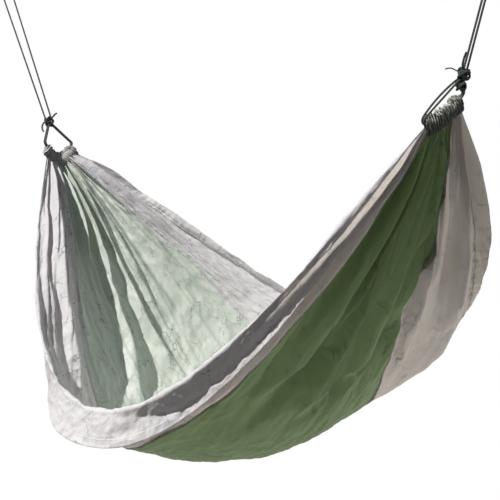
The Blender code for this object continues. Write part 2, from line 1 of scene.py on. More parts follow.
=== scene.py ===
import math
import bpy
import numpy as np
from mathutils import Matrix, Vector


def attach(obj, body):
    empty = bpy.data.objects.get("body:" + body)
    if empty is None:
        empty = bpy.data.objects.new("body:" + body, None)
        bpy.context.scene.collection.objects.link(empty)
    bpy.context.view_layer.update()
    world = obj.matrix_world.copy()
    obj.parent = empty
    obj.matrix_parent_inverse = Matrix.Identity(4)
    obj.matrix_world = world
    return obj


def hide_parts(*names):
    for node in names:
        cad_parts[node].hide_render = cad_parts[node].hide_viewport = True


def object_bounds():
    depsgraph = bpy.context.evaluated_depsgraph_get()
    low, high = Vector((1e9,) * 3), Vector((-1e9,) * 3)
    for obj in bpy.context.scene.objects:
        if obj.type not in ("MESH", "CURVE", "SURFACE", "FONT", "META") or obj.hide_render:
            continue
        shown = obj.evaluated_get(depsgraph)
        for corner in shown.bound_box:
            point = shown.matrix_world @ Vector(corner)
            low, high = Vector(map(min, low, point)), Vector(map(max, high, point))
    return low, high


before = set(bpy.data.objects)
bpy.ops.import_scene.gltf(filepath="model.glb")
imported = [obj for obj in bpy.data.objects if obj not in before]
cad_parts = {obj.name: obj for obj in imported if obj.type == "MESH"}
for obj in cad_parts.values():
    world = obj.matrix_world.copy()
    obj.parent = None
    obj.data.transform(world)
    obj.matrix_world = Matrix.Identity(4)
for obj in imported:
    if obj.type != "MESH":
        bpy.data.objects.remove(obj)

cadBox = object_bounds()
print("frame loaded:", len(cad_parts), "nodes")

# Places are from the middle of the bed, at the height of its gathers, and are moved to the frame at the end
barY = 0.0192
hookAboveBar = 0.054
leftBar = np.array([-1.1658, barY, 0.6193])
rightBar = np.array([0.8754, barY, 0.3016])
swingLine = (rightBar - leftBar) / np.linalg.norm(rightBar - leftBar)
linkUp = np.array([-swingLine[2], 0.0, swingLine[0]])
hookPoint = leftBar + linkUp * hookAboveBar

bed = {
    "width": 1.40,
    "sidePanel": 0.30,
    "collar": 0.12,
    "hem": 0.025,
    "seam": 0.012,
    "seamDrawn": 0.0016,
    "length": 2.60,
    "cloth": 0.0008,
    "hemCloth": 0.0018,
    "seamCloth": 0.0020,
}
leftChannel = np.array([(-0.750, -0.1226, -0.007), (-0.750, -0.0696, -0.038), (-0.750, -0.018, -0.001)])
rightChannel = np.array([(0.745, -0.0655, -0.046), (0.770, -0.019, -0.016), (0.790, 0.0316, 0.0286)])

# The long lines of the cloth: flat place across, lowest point, then how the sag swells, twists and leans
longLines = [
    (0.12, (-0.018, -0.495, -0.818), -0.042, -0.146, -0.070),
    (0.30, (-0.075, -0.373, -0.947), -0.204, 0.108, -0.013),
    (0.70, (-0.055, 0.047, -1.015), -0.113, 0.035, 0.203),
    (1.10, (0.021, 0.449, -0.865), -0.527, -0.147, 0.448),
    (1.25, (0.113, 0.538, -0.764), -0.239, -0.056, 0.435),
    (1.40, (0.160, 0.581, -0.603), 0.233, -0.084, 0.355),
]


# Camera and light

view = {"azimuth": 40.90, "distance": 3.396, "height": -0.3965, "aside": 0.0839, "towards": -0.038,
        "focal": 1100.0, "frame": 500.0, "horizon": 258.0, "sensor": 36.0, "farthest": 100.0}


def makeCamera():
    turn = math.radians(view["azimuth"])
    right = Vector((math.cos(turn), math.sin(turn), 0))
    ahead = Vector((-math.sin(turn), math.cos(turn), 0))
    place = right * view["aside"] - ahead * view["distance"]
    place += Vector((0, view["towards"], view["height"])) - Vector(hookPoint)
    data = bpy.data.cameras.new("camera")
    data.sensor_width = view["sensor"]
    data.lens = data.sensor_width * view["focal"] / view["frame"]
    data.clip_end = view["farthest"]
    tilt = math.atan((view["horizon"] - view["frame"] / 2) / view["focal"])
    aim = ahead * math.cos(tilt) + Vector((0, 0, math.sin(tilt)))
    camera = bpy.data.objects.new("camera", data)
    camera.location = place
    camera.rotation_euler = aim.to_track_quat("-Z", "Y").to_euler()
    bpy.context.scene.collection.objects.link(camera)
    bpy.context.scene.camera = camera


studio = {
    "sun": {"towards": (-0.24, -0.60, 0.76), "strength": 4.7, "angle": 0.7, "colour": (1.0, 0.96, 0.90)},
    "sky": {"strength": 0.055, "colour": (0.50, 0.78, 1.0)},
    "floor": {"drop": 0.95, "colour": 0.13, "seen": 0.87, "size": 60.0, "under": (1.0, 0.0)},
}


def addNode(tree, kind, inputs, **settings):
    # one shader or geometry node, its inputs given as values or as other nodes' outputs
    made = tree.nodes.new(kind)
    for key, value in settings.items():
        setattr(made, key, value)
    for key, value in inputs.items():
        if isinstance(value, bpy.types.NodeSocket):
            tree.links.new(value, made.inputs[key])
        else:
            made.inputs[key].default_value = value
    return made


def maths(tree, kind, *values, node="ShaderNodeMath"):
    return addNode(tree, node, dict(enumerate(values)), operation=kind).outputs[0]


def emptyTree(owner):
    owner.use_nodes = True
    owner.node_tree.nodes.clear()
    return owner.node_tree


def seenOnly(tree):
    # 1 where the camera, a reflection or a clear material looks, else 0
    path = addNode(tree, "ShaderNodeLightPath", {})
    either = maths(tree, "MAXIMUM", path.outputs["Is Camera Ray"], path.outputs["Is Glossy Ray"])
    return maths(tree, "MAXIMUM", either, path.outputs["Is Transmission Ray"])


def makeStudio():
    scene = bpy.context.scene
    scene.view_settings.view_transform = "Standard"
    sun = bpy.data.lights.new("sun", "SUN")
    sun.energy = studio["sun"]["strength"]
    sun.angle = math.radians(studio["sun"]["angle"])
    sun.color = studio["sun"]["colour"]
    lamp = bpy.data.objects.new("sun", sun)
    lamp.rotation_euler = (-Vector(studio["sun"]["towards"])).to_track_quat("-Z", "Y").to_euler()
    scene.collection.objects.link(lamp)

    world = bpy.data.worlds.new("studio")
    scene.world = world
    tree = emptyTree(world)
    seen = addNode(tree, "ShaderNodeBackground", {"Color": (1, 1, 1, 1), "Strength": 1.0})
    sky = addNode(tree, "ShaderNodeBackground", {"Color": (*studio["sky"]["colour"], 1),
                                                 "Strength": studio["sky"]["strength"]})
    mix = addNode(tree, "ShaderNodeMixShader", {0: seenOnly(tree), 1: sky.outputs[0], 2: seen.outputs[0]})
    addNode(tree, "ShaderNodeOutputWorld", {0: mix.outputs[0]})

    finish = bpy.data.materials.new("pale floor")
    tree = emptyTree(finish)
    grey = studio["floor"]["colour"]
    matt = addNode(tree, "ShaderNodeBsdfDiffuse", {"Color": (grey, grey, grey, 1)})
    lift = maths(tree, "MULTIPLY", seenOnly(tree), studio["floor"]["seen"])
    glow = addNode(tree, "ShaderNodeEmission", {"Color": (1, 1, 1, 1), "Strength": lift})
    both = addNode(tree, "ShaderNodeAddShader", {0: matt.outputs[0], 1: glow.outputs[0]})
    addNode(tree, "ShaderNodeOutputMaterial", {0: both.outputs[0]})
    bpy.ops.mesh.primitive_plane_add(size=studio["floor"]["size"], location=(
        *studio["floor"]["under"], cadBox[0][2] - studio["floor"]["drop"]))
    floor = bpy.context.object
    floor.name = "floor"
    floor.data.materials.append(finish)


makeCamera()
makeStudio()
print("camera, sun and floor set")


# Noise and small helpers

def smooth(t):
    t = np.clip(t, 0.0, 1.0)
    return t * t * (3 - 2 * t)


def ramp(value, start, end):
    return smooth((value - start) / (end - start))


def blendTo(a, b, t):
    return a + (b - a) * t


class Noise:
    def __init__(self, seed):
        rng = np.random.RandomState(seed)
        angles = rng.rand(256, 256) * 2 * math.pi
        self.gx, self.gy = np.cos(angles), np.sin(angles)

    def __call__(self, x, y):
        x0, y0 = np.floor(x).astype(int), np.floor(y).astype(int)
        fx, fy = x - x0, y - y0
        sx, sy = fx * fx * fx * (fx * (fx * 6 - 15) + 10), fy * fy * fy * (fy * (fy * 6 - 15) + 10)

        def corner(i, j):
            a, b = (x0 + i) % 256, (y0 + j) % 256
            return self.gx[a, b] * (fx - i) + self.gy[a, b] * (fy - j)

        low = blendTo(corner(0, 0), corner(1, 0), sx)
        high = blendTo(corner(0, 1), corner(1, 1), sx)
        return blendTo(low, high, sy) * 1.5


noiseA, noiseB, noiseC, noiseD = Noise(11), Noise(23), Noise(37), Noise(51)


def length(v):
    return np.sqrt((v * v).sum(-1, keepdims=True))


def unit(v):
    return v / np.maximum(length(v), 1e-12)


def runAlong(line):
    # metres from the first point of a line to each of its points
    return np.concatenate([[0], np.cumsum(length(np.diff(line, axis=0))[:, 0])])


# The bed's surface, for arrays of u (-1 left gather, 1 right gather) and w (metres across the flat cloth)

def bow(path, t):
    # the smooth bow through three points, at t from 0 to 1
    a, b, c = path
    pull = b * 2 - (a + c) / 2
    t = np.asarray(t)[..., None]
    return a * (1 - t) ** 2 + pull * (2 * t * (1 - t)) + c * t * t


lineAt, lineLow, lineSwell, lineTwist, lineLean = (np.array(column) for column in zip(*longLines))


def across(w, values):
    # the values of the long lines, smoothly drawn from one line to the next
    i = np.clip(np.searchsorted(lineAt, w, side="right") - 1, 0, len(lineAt) - 2)
    span = lineAt[i + 1] - lineAt[i]
    t = (w - lineAt[i]) / span

    def slope(k):
        low, high = np.maximum(k - 1, 0), np.minimum(k + 1, len(lineAt) - 1)
        rise = values[high] - values[low]
        run = lineAt[high] - lineAt[low]
        return rise / (run[..., None] if values.ndim > 1 else run)

    h0, h1 = 2 * t ** 3 - 3 * t * t + 1, (t ** 3 - 2 * t * t + t) * span
    h2, h3 = 3 * t * t - 2 * t ** 3, (t ** 3 - t * t) * span
    if values.ndim > 1:
        h0, h1, h2, h3 = (h[..., None] for h in (h0, h1, h2, h3))
    return values[i] * h0 + slope(i) * h1 + values[i + 1] * h2 + slope(i + 1) * h3


channelMargin = 0.06


def bodyPoint(u, w):
    share = channelMargin + (1 - 2 * channelMargin) * (w - bed["collar"]) / (bed["width"] - bed["collar"])
    left, right = bow(leftChannel, share), bow(rightChannel, share)
    bend = 1 + across(w, lineLean) * u + across(w, lineSwell) * u * u + across(w, lineTwist) * u ** 3
    sag = ((1 - u * u) * bend)[..., None]
    chord = left + (right - left) * ((u + 1) / 2)[..., None]
    return chord + (across(w, lineLow) - (left + right) / 2) * sag


aside = {"frame": 0.001, "normal": 0.0015, "across": 0.002}      # how far to each side a slope is read


def bodyFrame(u, w):
    u0, u1 = np.maximum(u - aside["frame"], -1), np.minimum(u + aside["frame"], 1)
    w0, w1 = np.maximum(w - aside["across"], bed["collar"]), np.minimum(w + aside["across"], bed["width"])
    along = unit(bodyPoint(u1, w) - bodyPoint(u0, w))
    step = (bodyPoint(u, w1) - bodyPoint(u, w0)) / (w1 - w0)[..., None]
    return along, step, unit(np.cross(step, along))


def crowding(u, w):
    # metres across the hanging cloth for each metre across the flat cloth
    return np.clip(length(bodyFrame(u, np.maximum(w, bed["collar"]))[1])[..., 0], 0.05, 1.0)


# The collar: the near edge turns over on a small radius and flops outwards, most of all in the right half
collar = {
    "foldRadius": 0.009, "turn": math.radians(163), "tight": 0.35, "hang": 0.058, "lift": 0.010,
    "drops": (0.02, 0.32), "flare": math.radians(42), "calmRight": (0.55, 0.70), "calmLeft": (0.12, 0.48),
    "calmed": (0.9, 0.7), "flareBend": 0.016, "slices": 24,
}


def bentStrip(run, slices, angleAt, stretch):
    # how far up and how far away a strip reaches that bends by angleAt(metres) on its way
    up, away = 0.0, 0.0
    for i in range(slices):
        s = run * (i + 0.5) / slices
        angle, step = angleAt(s), run / slices * stretch(s)
        up = up + np.cos(angle) * step
        away = away + np.sin(angle) * step
    return up, away


def collarShape(u, out):
    size = np.minimum(1.0, crowding(u, np.full_like(u, bed["collar"])) ** 0.8)
    tightness = blendTo(collar["tight"], 1.0, size)
    hang = blendTo(-collar["lift"], collar["hang"], ramp(u, *collar["drops"]))
    flare = collar["flare"] * (1 - collar["calmed"][1] * ramp(u, *collar["calmRight"]))
    flare = flare * (1 - collar["calmed"][0] * ramp(-u, *collar["calmLeft"]))
    turned = collar["foldRadius"] * collar["turn"]

    def angleAt(s):
        opened = flare * smooth((s - turned - hang) / collar["flareBend"])
        return collar["turn"] * np.minimum(1.0, s / turned) - opened

    return bentStrip(out, collar["slices"], angleAt, lambda s: size * np.where(s < turned, tightness, 1.0))


# The taut far edge rolls in over the bed
edgeRoll = {"from": 1.352, "turn": math.radians(90), "begun": 0.2, "bend": 0.007, "left": (-0.86, -0.66),
            "right": (-0.10, 0.25), "slices": 12}


def basePoint(u, w):
    inBody = np.maximum(w, bed["collar"])
    place = bodyPoint(u, inBody)
    rolled = w > edgeRoll["from"]
    if rolled.any():
        ur = u[rolled]
        start = np.full_like(ur, edgeRoll["from"])
        step, outwards = bodyFrame(ur, start)[1:]
        turn = edgeRoll["turn"] * ramp(ur, *edgeRoll["left"]) * (1 - ramp(ur, *edgeRoll["right"]))
        size = np.minimum(length(step)[..., 0], 1.0)
        up, inn = bentStrip(w[rolled] - edgeRoll["from"], edgeRoll["slices"],
                            lambda s: turn * smooth(s / edgeRoll["bend"]), lambda s: size)
        flatPlace = bodyPoint(ur, start) + unit(step) * up[..., None] - outwards * inn[..., None]
        share = np.clip(turn / edgeRoll["begun"], 0, 1)[..., None]
        place[rolled] = place[rolled] * (1 - share) + flatPlace * share
    outside = w < bed["collar"]
    if outside.any():
        uc = u[outside]
        step, outwards = bodyFrame(uc, np.full_like(uc, bed["collar"]))[1:]
        up, away = collarShape(uc, bed["collar"] - w[outside])
        place[outside] += outwards * away[..., None] - unit(step) * up[..., None]
    return place


def baseNormal(u, w):
    u0, u1 = np.maximum(u - aside["normal"], -1), np.minimum(u + aside["normal"], 1)
    w0, w1 = np.maximum(w - aside["across"], 0.0), np.minimum(w + aside["across"], bed["width"])
    return unit(np.cross(basePoint(u, w1) - basePoint(u, w0), basePoint(u1, w) - basePoint(u0, w)))


halfLength = 1.25      # about half the cloth's length, so that noise is as long as it is wide
folds = {
    # ridges: height, flat width before and beyond the crest, then (u, w) from the gather outwards
    "ridges": [
        (0.024, 0.05, 0.018, [(-1.0, 0.165), (-0.88, 0.175), (-0.78, 0.18), (-0.68, 0.19), (-0.50, 0.20),
                              (-0.35, 0.21)]),
        (0.060, 0.09, 0.040, [(-1.0, 0.29), (-0.88, 0.285), (-0.80, 0.285), (-0.65, 0.29), (-0.50, 0.295),
                              (-0.40, 0.30), (-0.20, 0.31)]),
        (0.024, 0.04, 0.025, [(-1.0, 0.62), (-0.90, 0.60), (-0.815, 0.577), (-0.74, 0.558), (-0.66, 0.545)]),
        (0.048, 0.07, 0.018, [(-1.0, 0.76), (-0.865, 0.744), (-0.80, 0.728), (-0.742, 0.706), (-0.663, 0.664),
                              (-0.582, 0.639), (-0.50, 0.633), (-0.45, 0.617), (-0.35, 0.575), (-0.2, 0.56)]),
        (0.040, 0.06, 0.016, [(-1.0, 0.89), (-0.883, 0.90), (-0.786, 0.835), (-0.69, 0.80), (-0.58, 0.78),
                              (-0.506, 0.775), (-0.416, 0.78), (-0.348, 0.785), (-0.25, 0.79)]),
        (0.028, 0.05, 0.014, [(-1.0, 0.96), (-0.925, 0.957), (-0.826, 0.905), (-0.734, 0.892),
                              (-0.668, 0.872), (-0.587, 0.862), (-0.538, 0.842), (-0.45, 0.84)]),
        (0.065, 0.10, 0.035, [(1.0, 0.66), (0.85, 0.66), (0.725, 0.649), (0.658, 0.614), (0.577, 0.58),
                              (0.475, 0.505), (0.3, 0.46)]),
        (0.018, 0.08, 0.035, [(1.0, 1.16), (0.86, 1.14), (0.764, 1.09), (0.69, 1.01), (0.626, 0.93),
                              (0.563, 0.77), (0.50, 0.69), (0.43, 0.63), (0.3, 0.56)]),
        (0.026, 0.05, 0.025, [(1.0, 1.31), (0.90, 1.27), (0.82, 1.245), (0.70, 1.20), (0.58, 1.17),
                              (0.5, 1.15)]),
        (0.038, 0.045, 0.011, [(1.0, 0.46), (0.86, 0.45), (0.76, 0.44), (0.66, 0.42), (0.56, 0.40)]),
        (0.028, 0.034, 0.010, [(1.0, 0.56), (0.88, 0.555), (0.80, 0.55), (0.72, 0.535)]),
        (0.038, 0.045, 0.011, [(1.0, 0.80), (0.88, 0.80), (0.78, 0.78), (0.68, 0.74), (0.60, 0.68)]),
        (0.028, 0.034, 0.010, [(1.0, 0.92), (0.90, 0.92), (0.82, 0.90), (0.74, 0.86)]),
        (0.036, 0.045, 0.011, [(1.0, 1.05), (0.90, 1.03), (0.80, 0.99), (0.70, 0.92), (0.62, 0.84)]),
    ],
    "ridgeRun": {"grown": 0.28, "fades": 0.55, "wander": 0.006},
    "broad": {"count": 8, "steep": 0.6, "tallest": 0.018, "fades": 0.6, "sway": 0.9, "boldRight": 1.7},
    "fine": {"count": 19, "steep": 0.95, "slack": 0.62, "reach": 0.60, "least": 0.12,
             "uneven": 0.7, "sway": 3.8},
    "tiny": {"count": 40, "steep": 1.5, "slack": 0.70, "reach": 0.16, "least": 0.05,
             "uneven": 0.8, "sway": 4.9},
    "crease": {"deep": 0.040, "wide": 0.30},
    "crumple": {"steep": 0.085, "facets": ((0.20, 0.5), (0.095, 0.8), (0.045, 1.0), (0.024, 0.8))},
    "flute": 0.0045,
    "pucker": {"tall": 0.0020, "pitch": 0.021, "besideHem": 0.026, "besideSeam": 0.024},
}


def foldWave(turn):
    # rounded crests and narrower valleys
    return np.sin(turn + 0.55 * np.sin(turn))


def ridges(u, w):
    total = np.zeros_like(u)
    run = folds["ridgeRun"]
    for height, rise, fall, points in folds["ridges"]:
        line = np.array(sorted(points))
        crest = np.interp(u, line[:, 0], line[:, 1])
        crest = crest + run["wander"] * noiseA(u * 9 + 5 * crest, crest * 0 + 3.3)
        end, root = (line[-1, 0], -1) if line[0, 0] < -0.9 else (line[0, 0], 1)
        share = (u - root) / (end - root)
        grown = smooth(share / run["grown"]) * (1 - ramp(share, run["fades"], 1.0))
        grown = grown * (share > 0) * (share < 1)
        off = w - crest
        total += height * grown * np.where(off < 0, 1 - smooth(-off / rise), 1 - smooth(off / fall))
    return total


def relief(u, w):
    drawn = 1 - np.abs(u)
    side = np.where(u < 0, 0.0, 7.3)      # the two ends read different parts of the noise
    flat = bed["width"] - bed["collar"]
    body = np.clip((w - bed["collar"]) / flat, 0, 1)
    inBody = smooth((w - bed["collar"]) / 0.05)
    x, y = u * halfLength, w
    crowd = crowding(u, w)
    slack = np.sqrt(np.maximum(0.0, 1 / crowd ** 2 - 1)) / 4.3    # height over pitch that takes up the width
    wander = noiseB(body * 6 + side, drawn * 2.2)

    def tall(spec, share):
        return flat / spec["count"] * crowd * spec["steep"] * share

    def wave(spec, shift=0.0):
        return foldWave(2 * math.pi * spec["count"] * body + spec["sway"] * wander + shift)

    # pleats: tiny ones at the gathers join into fine ones, and those into a few broad ones
    broad, fine, tiny = folds["broad"], folds["fine"], folds["tiny"]
    bold = np.where(u < 0, 1.0, broad["boldRight"])
    fade = smooth(drawn / 0.1) * (1 - smooth((drawn - 0.07 * bold ** 2) / broad["fades"]))
    height = bold * np.minimum(broad["tallest"], tall(broad, slack))
    pleats = height * fade * wave(broad, 0.5 * np.sin(2.1 * u + 0.8))
    for spec, uneven, begun in ((fine, noiseA(body * 9 + side, side), smooth((drawn - 0.01) / 0.08)),
                                (tiny, noiseC(body * 21 + side, side + 3.1), 1.0)):
        reach = np.maximum(spec["reach"] * (1 + spec["uneven"] * uneven), spec["least"])
        fade = begun * (1 - smooth(drawn / reach))
        pleats = pleats + tall(spec, np.minimum(slack, spec["slack"])) * fade * wave(spec)

    # tension creases that run out of the gathers and die away
    along = noiseD(body * 26 + 3.7 * noiseA(body * 3, u * 0.7), u * 1.3 + side)
    crease = -np.maximum(0.0, folds["crease"]["wide"] - np.abs(along)) ** 1.5 * folds["crease"]["deep"]
    crease = crease * (0.25 + 0.75 * smooth((0.95 - drawn) / 0.75)) * smooth(drawn / 0.1)

    # crumpled facets, a little longer along the cloth than across
    crumple = 0.0
    for i, (size, share) in enumerate(folds["crumple"]["facets"]):
        bend = 0.25 * noiseC(x / size * 0.5 + i, y / size * 0.5)
        facet = np.abs(noiseB(x / size * 0.72 + 5.1 * i + bend, y / size + 2.3 * i)) - 0.25
        crumple = crumple + folds["crumple"]["steep"] * size * share * facet
    crumple = crumple * (0.35 + 0.65 * smooth(drawn / 0.2))

    # the fold and the collar keep soft flutes of their own
    flute = folds["flute"] * noiseC(x * 7 + 31, y * 6) * smooth(drawn / 0.15) * (1 - inBody)
    return pleats * inBody - ridges(u, w) + crease * (0.3 + 0.7 * inBody) + crumple + flute


def puckers(u, w):
    # small ripples beside every row of stitching
    x, y = u * halfLength, w
    spec = folds["pucker"]
    hem = np.minimum(np.abs(w - bed["hem"]), np.abs(w - bed["width"] + bed["hem"]))
    seam = np.minimum(np.abs(w - bed["sidePanel"]), np.abs(w - bed["width"] + bed["sidePanel"]))
    ripple = np.sin(2 * math.pi * (x / spec["pitch"] + 0.9 * noiseA(x * 16, y * 5)))
    near = np.exp(-(hem / spec["besideHem"]) ** 2) + 0.8 * np.exp(-(seam / spec["besideSeam"]) ** 2)
    uneven = 0.45 + 0.55 * noiseB(x * 3.1, y * 2.0 + 9)
    return spec["tall"] * ripple * near * uneven * smooth((1 - np.abs(u)) / 0.12)


# How far each seam has crept across the bed's form, as (u, metres): the panels aren't drawn in evenly
creep = {
    "near": [(-1.0, 0.17), (-0.88, 0.17), (-0.78, 0.14), (-0.68, 0.125), (-0.50, 0.09), (-0.33, 0.085),
             (-0.15, 0.045), (0.0, 0.010), (0.18, -0.032), (0.27, -0.024), (0.34, 0.0), (0.44, 0.014),
             (0.7, 0.02), (1.0, 0.02)],
    "far": [(-1.0, -0.12), (-0.90, -0.11), (-0.70, -0.03), (-0.59, 0.055), (-0.40, 0.04), (-0.15, 0.02),
            (0.10, 0.0), (0.29, -0.04), (0.45, -0.08), (0.55, -0.085), (0.62, -0.07), (0.70, -0.03),
            (0.78, 0.02), (0.86, 0.06), (0.93, 0.085), (1.0, 0.085)],
    "middle": 0.72, "farEnd": 1.355, "eased": (-0.07, -0.035, 0.0, 0.035, 0.07),
}
nearSeamAt, farSeamAt = bed["sidePanel"], bed["width"] - bed["sidePanel"]


def crept(u, w):
    def along(points):
        points = np.array(points)
        nearby = [np.interp(u + d, points[:, 0], points[:, 1]) for d in creep["eased"]]
        return sum(nearby) / len(nearby)

    near = ramp(w, bed["collar"], nearSeamAt) * (1 - ramp(w, nearSeamAt, creep["middle"]))
    far = ramp(w, creep["middle"], farSeamAt) * (1 - ramp(w, farSeamAt, creep["farEnd"]))
    return w + along(creep["near"]) * near + along(creep["far"]) * far


def clothPoint(u, w):
    on = crept(u, w)
    return basePoint(u, on) + baseNormal(u, on) * (relief(u, on) + puckers(u, w))[..., None]


# Materials

def linear(rgb):
    return tuple(((c / 255 + 0.055) / 1.055) ** 2.4 if c > 10 else c / 255 / 12.92 for c in rgb) + (1.0,)


def darker(colour, share):
    return tuple(c * share for c in colour[:3]) + (1,)


def makeFinish(name, sockets):
    made = bpy.data.materials.new(name)
    made.use_nodes = True
    shader = made.node_tree.nodes["Principled BSDF"]
    for socket, value in sockets.items():
        shader.inputs[socket].default_value = value
    return made, made.node_tree, shader


def flatMap(tree, name="flat"):
    return addNode(tree, "ShaderNodeUVMap", {}, uv_map=name).outputs["UV"]


def noiseNode(tree, place, scale, detail, rough=0.5, **settings):
    inputs = {"Vector": place, "Scale": scale, "Detail": detail, "Roughness": rough}
    return addNode(tree, "ShaderNodeTexNoise", inputs, **settings).outputs


def cells(tree, place, scale, feature):
    inputs = {"Vector": place, "Scale": scale}
    return addNode(tree, "ShaderNodeTexVoronoi", inputs, feature=feature).outputs["Distance"]


def stretched(tree, value, span, onto=(0.0, 1.0)):
    inputs = {"Value": value, "From Min": span[0], "From Max": span[1], "To Min": onto[0], "To Max": onto[1]}
    return addNode(tree, "ShaderNodeMapRange", inputs).outputs["Result"]


def mixed(tree, share, low, high):
    inputs = {"Factor": share, "A": low, "B": high}
    return addNode(tree, "ShaderNodeMix", inputs, data_type="RGBA").outputs["Result"]


def bumped(tree, height, strength, deep, under=None):
    inputs = {"Strength": strength, "Distance": deep, "Height": height}
    if under:
        inputs["Normal"] = under
    return addNode(tree, "ShaderNodeBump", inputs).outputs["Normal"]


def dress(tree, shader, colour, normal):
    tree.links.new(colour, shader.inputs["Base Color"])
    tree.links.new(normal, shader.inputs["Normal"])


# inside and outside skins of one nylon: the inside colours are a pale, sunlit copy and the outside colours a
# darker, shaded copy, so painted light inside and painted shade outside
nylon = {
    # crease: the share of colour kept on the crease lines, which are painted shade
    "grey": {
        "outside": {"colour": (174, 170, 165), "deep": (157, 153, 148), "glow": (0.97, 0.93, 0.88, 1),
                    "through": 0.48, "crease": 0.84},
        "inside": {"colour": (229, 229, 236), "deep": (219, 220, 228), "glow": (0.98, 0.93, 0.86, 1),
                   "through": 0.24, "crease": 0.48},
    },
    "green": {
        "outside": {"colour": (84, 106, 98), "deep": (68, 90, 82), "glow": (0.74, 0.84, 0.50, 1),
                    "through": 0.38, "crease": 0.84},
        "inside": {"colour": (226, 233, 228), "deep": (216, 224, 218), "glow": (0.84, 0.90, 0.84, 1),
                   "through": 0.13, "crease": 0.48},
    },
    "skin": {"Roughness": 0.55, "Sheen Weight": 0.10, "Sheen Roughness": 0.4, "Specular IOR Level": 0.30},
    "blotch": {"scale": 4.0, "span": (0.36, 0.60)},
    "crinkle": 1.0,
    "facets": [
        {"drift": 9.0, "far": 0.085, "stretch": 0.55, "scale": 15.0, "deep": 0.0042, "line": 0.020},
        {"drift": 22.0, "far": 0.040, "stretch": 0.75, "scale": 44.0, "deep": 0.0018, "line": 0.042},
    ],
    "patches": {"scale": 0.45, "span": (0.54, 0.61)},
    "ridged": {"scale": 24.0, "deep": 0.0013},
    "weave": {"scale": 900.0, "deep": 0.0002},
}


def makeNylon(name, spec):
    made, tree, shader = makeFinish(name, nylon["skin"])
    place = flatMap(tree)
    blotch = noiseNode(tree, place, nylon["blotch"]["scale"], 6.0, 0.62)["Fac"]
    share = stretched(tree, blotch, nylon["blotch"]["span"])
    colour = mixed(tree, share, linear(spec["deep"]), linear(spec["colour"]))

    # crinkles: folded facets, with painted shade lines along some of their edges
    heights, creaseShadeLines, vectors = [], [], "ShaderNodeVectorMath"
    for facet in nylon["facets"]:
        drift = noiseNode(tree, place, facet["drift"], 3.0, 0.6)["Color"]
        fit = maths(tree, "MULTIPLY", place, (facet["stretch"], 1.0, 1.0), node=vectors)
        bent = maths(tree, "MULTIPLY_ADD", drift, (facet["far"],) * 3, fit, node=vectors)
        heights.append((cells(tree, bent, facet["scale"], "F1"), facet["deep"]))
        edge = cells(tree, bent, facet["scale"], "DISTANCE_TO_EDGE")
        patch = noiseNode(tree, place, facet["scale"] * nylon["patches"]["scale"], 2.0)["Fac"]
        creaseShadeLines.append(maths(tree, "MULTIPLY", stretched(tree, edge, (0.0, facet["line"]), (1.0, 0.0)),
                           stretched(tree, patch, nylon["patches"]["span"])))
    ridged = noiseNode(tree, bent, nylon["ridged"]["scale"], 4.0, 0.6,
                       noise_type="RIDGED_MULTIFRACTAL", normalize=False)["Fac"]
    weave = noiseNode(tree, place, nylon["weave"]["scale"], 1.0)["Fac"]
    heights += [(ridged, nylon["ridged"]["deep"]), (weave, nylon["weave"]["deep"])]
    normal = None
    for height, deep in heights:
        normal = bumped(tree, height, nylon["crinkle"], deep, normal)

    # painted shade on the crease lines: the base colour and the glow colour are both darkened there, which
    # shows most where light comes through
    dark = maths(tree, "MAXIMUM", *creaseShadeLines)
    dress(tree, shader, mixed(tree, dark, colour, darker(linear(spec["deep"]), spec["crease"])), normal)
    through = mixed(tree, dark, spec["glow"], darker(spec["glow"], spec["crease"]))
    glow = addNode(tree, "ShaderNodeBsdfTranslucent", {"Color": through, "Normal": normal})
    mix = addNode(tree, "ShaderNodeMixShader", {0: spec["through"], 1: shader.outputs[0], 2: glow.outputs[0]})
    tree.links.new(mix.outputs[0], tree.nodes["Material Output"].inputs["Surface"])
    return made


# crest is the painted highlight colour on a standing pleat, and the groove colour is painted shade between
# pleats
ruffled = {
    "left": {"crest": (230, 228, 226), "shadedGroove": (168, 168, 168)},
    "right": {"crest": (208, 207, 203), "shadedGroove": (50, 66, 56)},
    "skin": {"Roughness": 0.6, "Specular IOR Level": 0.30},
    "crumple": {"scale": 260.0, "share": 0.7, "span": (0.42, 1.05), "relief": (0.9, 0.0016)},
}


def makeGathered(name, spec):
    # the drawn-up cloth: a painted highlight where a pleat stands out and painted shade between two pleats
    made, tree, shader = makeFinish(name, ruffled["skin"])
    crest = addNode(tree, "ShaderNodeAttribute", {}, attribute_name="crest").outputs["Fac"]
    crumple = noiseNode(tree, flatMap(tree), ruffled["crumple"]["scale"], 5.0, 0.65)["Fac"]
    both = maths(tree, "MULTIPLY_ADD", crumple, ruffled["crumple"]["share"], crest)
    share = stretched(tree, both, ruffled["crumple"]["span"])
    dress(tree, shader, mixed(tree, share, linear(spec["shadedGroove"]), linear(spec["crest"])),
          bumped(tree, crumple, *ruffled["crumple"]["relief"]))
    return made


cord = {
    "radius": 0.003, "gap": 0.0072, "sides": 14,
    "colour": (40, 50, 45), "flecks": (92, 104, 98), "fleckSpan": (0.35, 0.9),
    "turns": 8.0, "pitch": 210.0, "relief": (0.7, 0.0005),
    "skin": {"Roughness": 0.66, "Specular IOR Level": 0.35, "Sheen Weight": 0.15},
}


